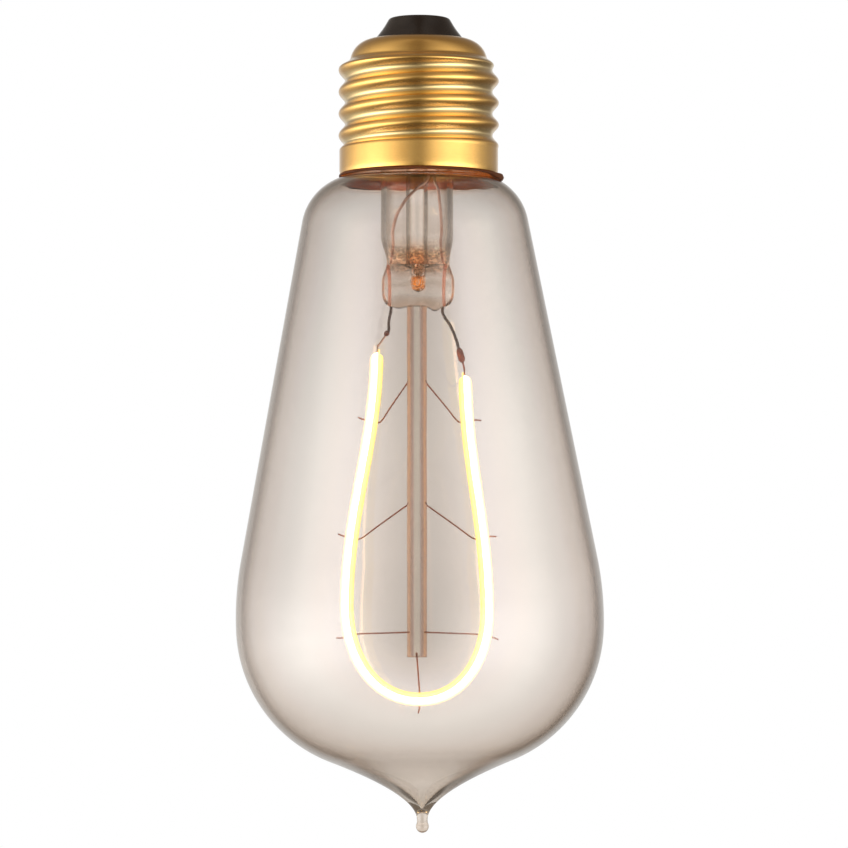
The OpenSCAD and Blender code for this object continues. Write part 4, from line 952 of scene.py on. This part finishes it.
def makeTerminals():
    # a flat tab on each bare end of the backing and a thin tail up into the joint
    k = terminal
    for side, endS, way, material in (("left", 0, -1, "bareCopper"), ("right", stripLength, 1, "weldedCopper")):
        place, heading, n = (rows[0] for rows in onStrip(np.array([endS])))
        off = heading * way
        tip = place + n * k.faceOffset + off * k.past
        middle, down, length, _ = jointLine(side)
        run = tip - off * np.linspace(0, k.length, 7)[:, None]
        thick, wide = k.halfThick, k.halfWide
        box = roundedLine([(-thick, -wide), (thick, -wide), (thick, wide), (-thick, wide)], [0.08] * 4, 4)[None]
        tab = together(run[:, :1] + n[0] * box[..., 0], box[..., 1], run[:, 1:] + n[1] * box[..., 0])
        foot = tip - off * k.foot
        tail = wireGrid([middle + down * leads.seat, middle + down * (length / 2 + k.overlap),
            (foot[0], 0, foot[1])], k.tailWire, acrossWire)
        makeMountPiece(side + "Terminal", [(tab, False, True), (tail, False, True)], material, "terminal_metal",
            sharpDegrees=40)


def hookPoints(start, s):
    # from the rod past the inner layer, across the strip's back edge and forward to a short tail
    k = supports
    c, h, n = (rows[0] for rows in onStrip(np.array([s])))
    backY = filament.width / 2 + k.wire / 2 + k.gap

    def at(p, y):
        return np.array([p[0], y, p[1]])

    near = at(c - n * (filament.backing + filament.inner + k.before), backY)
    u = (near - start) / np.linalg.norm(near - start)
    far = c + n * (filament.outer + k.wire / 2 + k.gap)
    end = at(c + n * (filament.outer + k.reach) - h * k.tailAside, backY - k.tailForward)
    return [start - u * k.seat, start + (near - start) * k.slope, near, at(c, backY), at(far, backY), end]


def makeSupports():
    # a hook at each level on both strands, where the strip passes the hook's height, and one at the bend
    s = lengthsAlong(stripLine)
    middleS = s[np.argmin(stripLine[:, 1])]
    hooks = []
    for level in ("upper", "middle", "lower"):
        rodZ, hookZ = supports[level]
        for side, name, half in ((-1, "Left", s <= middleS), (1, "Right", s >= middleS)):
            zs, ss = stripLine[half, 1], s[half]
            order = np.argsort(zs)
            hookS = np.interp(hookZ, zs[order], ss[order])
            hooks.append((level + name, np.array([side * rod.radius, 0, rodZ]), hookS, (0.1, 0.2, 1)))
    hooks.append(("bottom", np.array(supports.bottomStart), middleS, (1, 0.2, 0.1)))
    for name, start, hookS, reference in hooks:
        makeWire(name + "Support", hookPoints(start, hookS), supports.wire, "supportWire", "support_wire", reference,
            8, 10)


makeLeads()
makeTerminals()
makeSupports()
print("wires made")


# ---- nodes that keep their CAD shape

kept = {"filament_backing": "flexBacking", "led_chips": "blueChip", "driver_board": "greenBoard",
    "rectifier": "blackResin", "current_chip": "blackResin", "smoothing_capacitor": "darkSleeve",
    "fuse_resistor": "paleLacquer", "centre_wire": "redInsulation", "side_wire": "blackInsulation",
    "side_solder": "dullSolder"}
for nodeName, material in kept.items():
    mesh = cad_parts[nodeName].data
    mesh.materials.clear()
    mesh.materials.append(bpy.data.materials[material])
print("kept nodes dressed")


# ---- floor, light and camera

ground = sizes(z=-0.3, size=3, colour=(0.8, 0.8, 0.8), roughness=0.9, glow=0.55)


def makeFloor():
    # pale, a little lit for the camera, and passed by rays that a surface mirrored before
    half, z = ground.size / 2, ground.z
    mesh = bpy.data.meshes.new("paleFloor")
    mesh.from_pydata([(-half, -half, z), (half, -half, z), (half, half, z), (-half, half, z)], [], [(0, 1, 2, 3)])
    floor = addObject("paleFloor", mesh)
    tree, shader = newMaterial("paleFloor")
    ray = tree.node("LightPath").outputs
    seen = tree.math("MAXIMUM", ray["Is Camera Ray"], ray["Is Transmission Ray"])
    tree.fill(shader, {"Base Color": ground.colour, "Roughness": ground.roughness, "Emission Color": white,
        "Emission Strength": tree.times(seen, ground.glow)})
    tree.letThrough(shader, tree.math("GREATER_THAN", ray["Glossy Depth"], 0.5), white)
    mesh.materials.append(bpy.data.materials["paleFloor"])
    floor.visible_glossy = False


# the studio as the metal sees it: panels by turn from the camera (0 front, 1 behind) and height (0 down, 1 up)
studio = sizes(
    left=[(0, 0), (0.02, 0.01), (0.067, 0.06), (0.15, 0.22), (0.233, 0.42), (0.322, 0.66), (0.42, 0.68),
        (0.53, 0.5), (0.64, 0.25), (0.76, 0.08), (1, 0)],
    right=[(0, 0), (0.028, 0.01), (0.094, 0.2), (0.18, 0.43), (0.26, 0.6), (0.35, 0.62), (0.45, 0.42),
        (0.567, 0.1), (0.68, 0), (1, 0)],
    reach=[(0, 0.02), (0.1, 0.06), (0.2, 0.4), (0.3, 0.85), (0.42, 1), (0.5, 0.75), (0.56, 0.36), (0.65, 0.24),
        (0.78, 0.17), (1, 0.06)],
    plain=[(0, 0.12, 0.1, 0.08), (0.2, 0.14, 0.12, 0.1), (0.38, 0.2, 0.18, 0.16), (0.5, 0.35, 0.34, 0.33),
        (0.56, 0.41, 0.4, 0.39), (0.65, 0.3, 0.28, 0.26), (0.8, 0.24, 0.21, 0.18),
        (1, 0.22, 0.18, 0.14)], panelColour=(5.2, 5.1, 4.9), sideBlend=(-0.1, 0.1),
    backdrop=(0.72, 0.71, 0.69), backdropFrom=(0.85, 0.97), diffuse=(0.34, 0.33, 0.32))


def makeWorld():
    # white for the camera and straight through glass; mirrored rays see panels, a dim warm room and a backdrop
    world = bpy.data.worlds.new("softStudio")
    bpy.context.scene.world = world
    world.use_nodes = True
    tree = shaderTree(world.node_tree)
    heading = tree.node("TexCoord").outputs["Generated"]
    x, y, z = tree.node("SeparateXYZ", {0: heading}).outputs
    turn = tree.math("ARCTAN2", tree.math("ABSOLUTE", x), tree.times(y, -1))
    turn = tree.math("DIVIDE", turn, np.pi)
    height = tree.range(z, -1, 1, 0, 1)
    sides = [tree.colours(turn, studio[side]) for side in ("left", "right")]
    panel = tree.product(tree.mix(tree.eased(x, *studio.sideBlend, 0, 1), *sides), tree.colours(height, studio.reach))
    around = tree.mix(1, tree.colours(height, studio.plain), tree.product(panel, studio.panelColour), "ADD")
    around = tree.mix(tree.eased(y, *studio.backdropFrom, 0, 1), around, studio.backdrop)
    ray = tree.node("LightPath").outputs
    straight = tree.math("LESS_THAN", ray["Glossy Depth"], 0.5)
    seen = tree.math("MAXIMUM", ray["Is Camera Ray"], tree.times(ray["Is Transmission Ray"], straight))
    around = tree.mix(ray["Is Diffuse Ray"], around, studio.diffuse)
    tree.fill(tree.nodes["Background"], {"Color": tree.mix(seen, around, white), "Strength": 1})


def makeLamp(name, place, target, size, energy, colour):
    light = bpy.data.lights.new(name, "AREA")
    light.shape = "RECTANGLE"
    light.size, light.size_y = size
    light.energy = energy
    light.color = colour
    lamp = addObject(name, light)
    lamp.location = place
    lamp.rotation_euler = (Vector(target) - Vector(place)).to_track_quat("-Z", "Y").to_euler()
    lamp.visible_glossy = False
    lamp.visible_transmission = False


view = sizes(distance=0.85, height=-0.122, aimX=0.00087, aimZ=-0.06715, width=0.13907)


def makeCamera():
    # the angle that spans the view's width at the aim's distance
    camera = addObject("photoCamera", bpy.data.cameras.new("photoCamera"))
    aim = Vector((view.aimX, 0, view.aimZ))
    place = Vector((view.aimX, -view.distance, view.height))
    camera.location = place
    camera.rotation_euler = (aim - place).to_track_quat("-Z", "Y").to_euler()
    camera.data.angle = 2 * np.arctan(view.width / 2 / (aim - place).length)
    camera.data.clip_start = 0.01
    camera.data.clip_end = 50
    bpy.context.scene.camera = camera


makeFloor()
makeWorld()
makeLamp("leftPanel", (-0.9, -0.8, 0.1), (0, 0, -0.07), (0.5, 0.9), 9, (1, 0.98, 0.95))
makeLamp("rightPanel", (0.9, -0.8, 0.1), (0, 0, -0.07), (0.5, 0.9), 6, (1, 0.98, 0.95))
makeLamp("lowFill", (0, -0.7, -0.75), (0, 0, -0.03), (0.5, 0.3), 7, (1, 0.94, 0.86))
makeLamp("topPanel", (0, 0.1, 1.1), (0, 0, -0.07), (0.8, 0.8), 6, white)
makeCamera()
bpy.context.scene.view_settings.view_transform = "Standard"
print("floor, light and camera made")
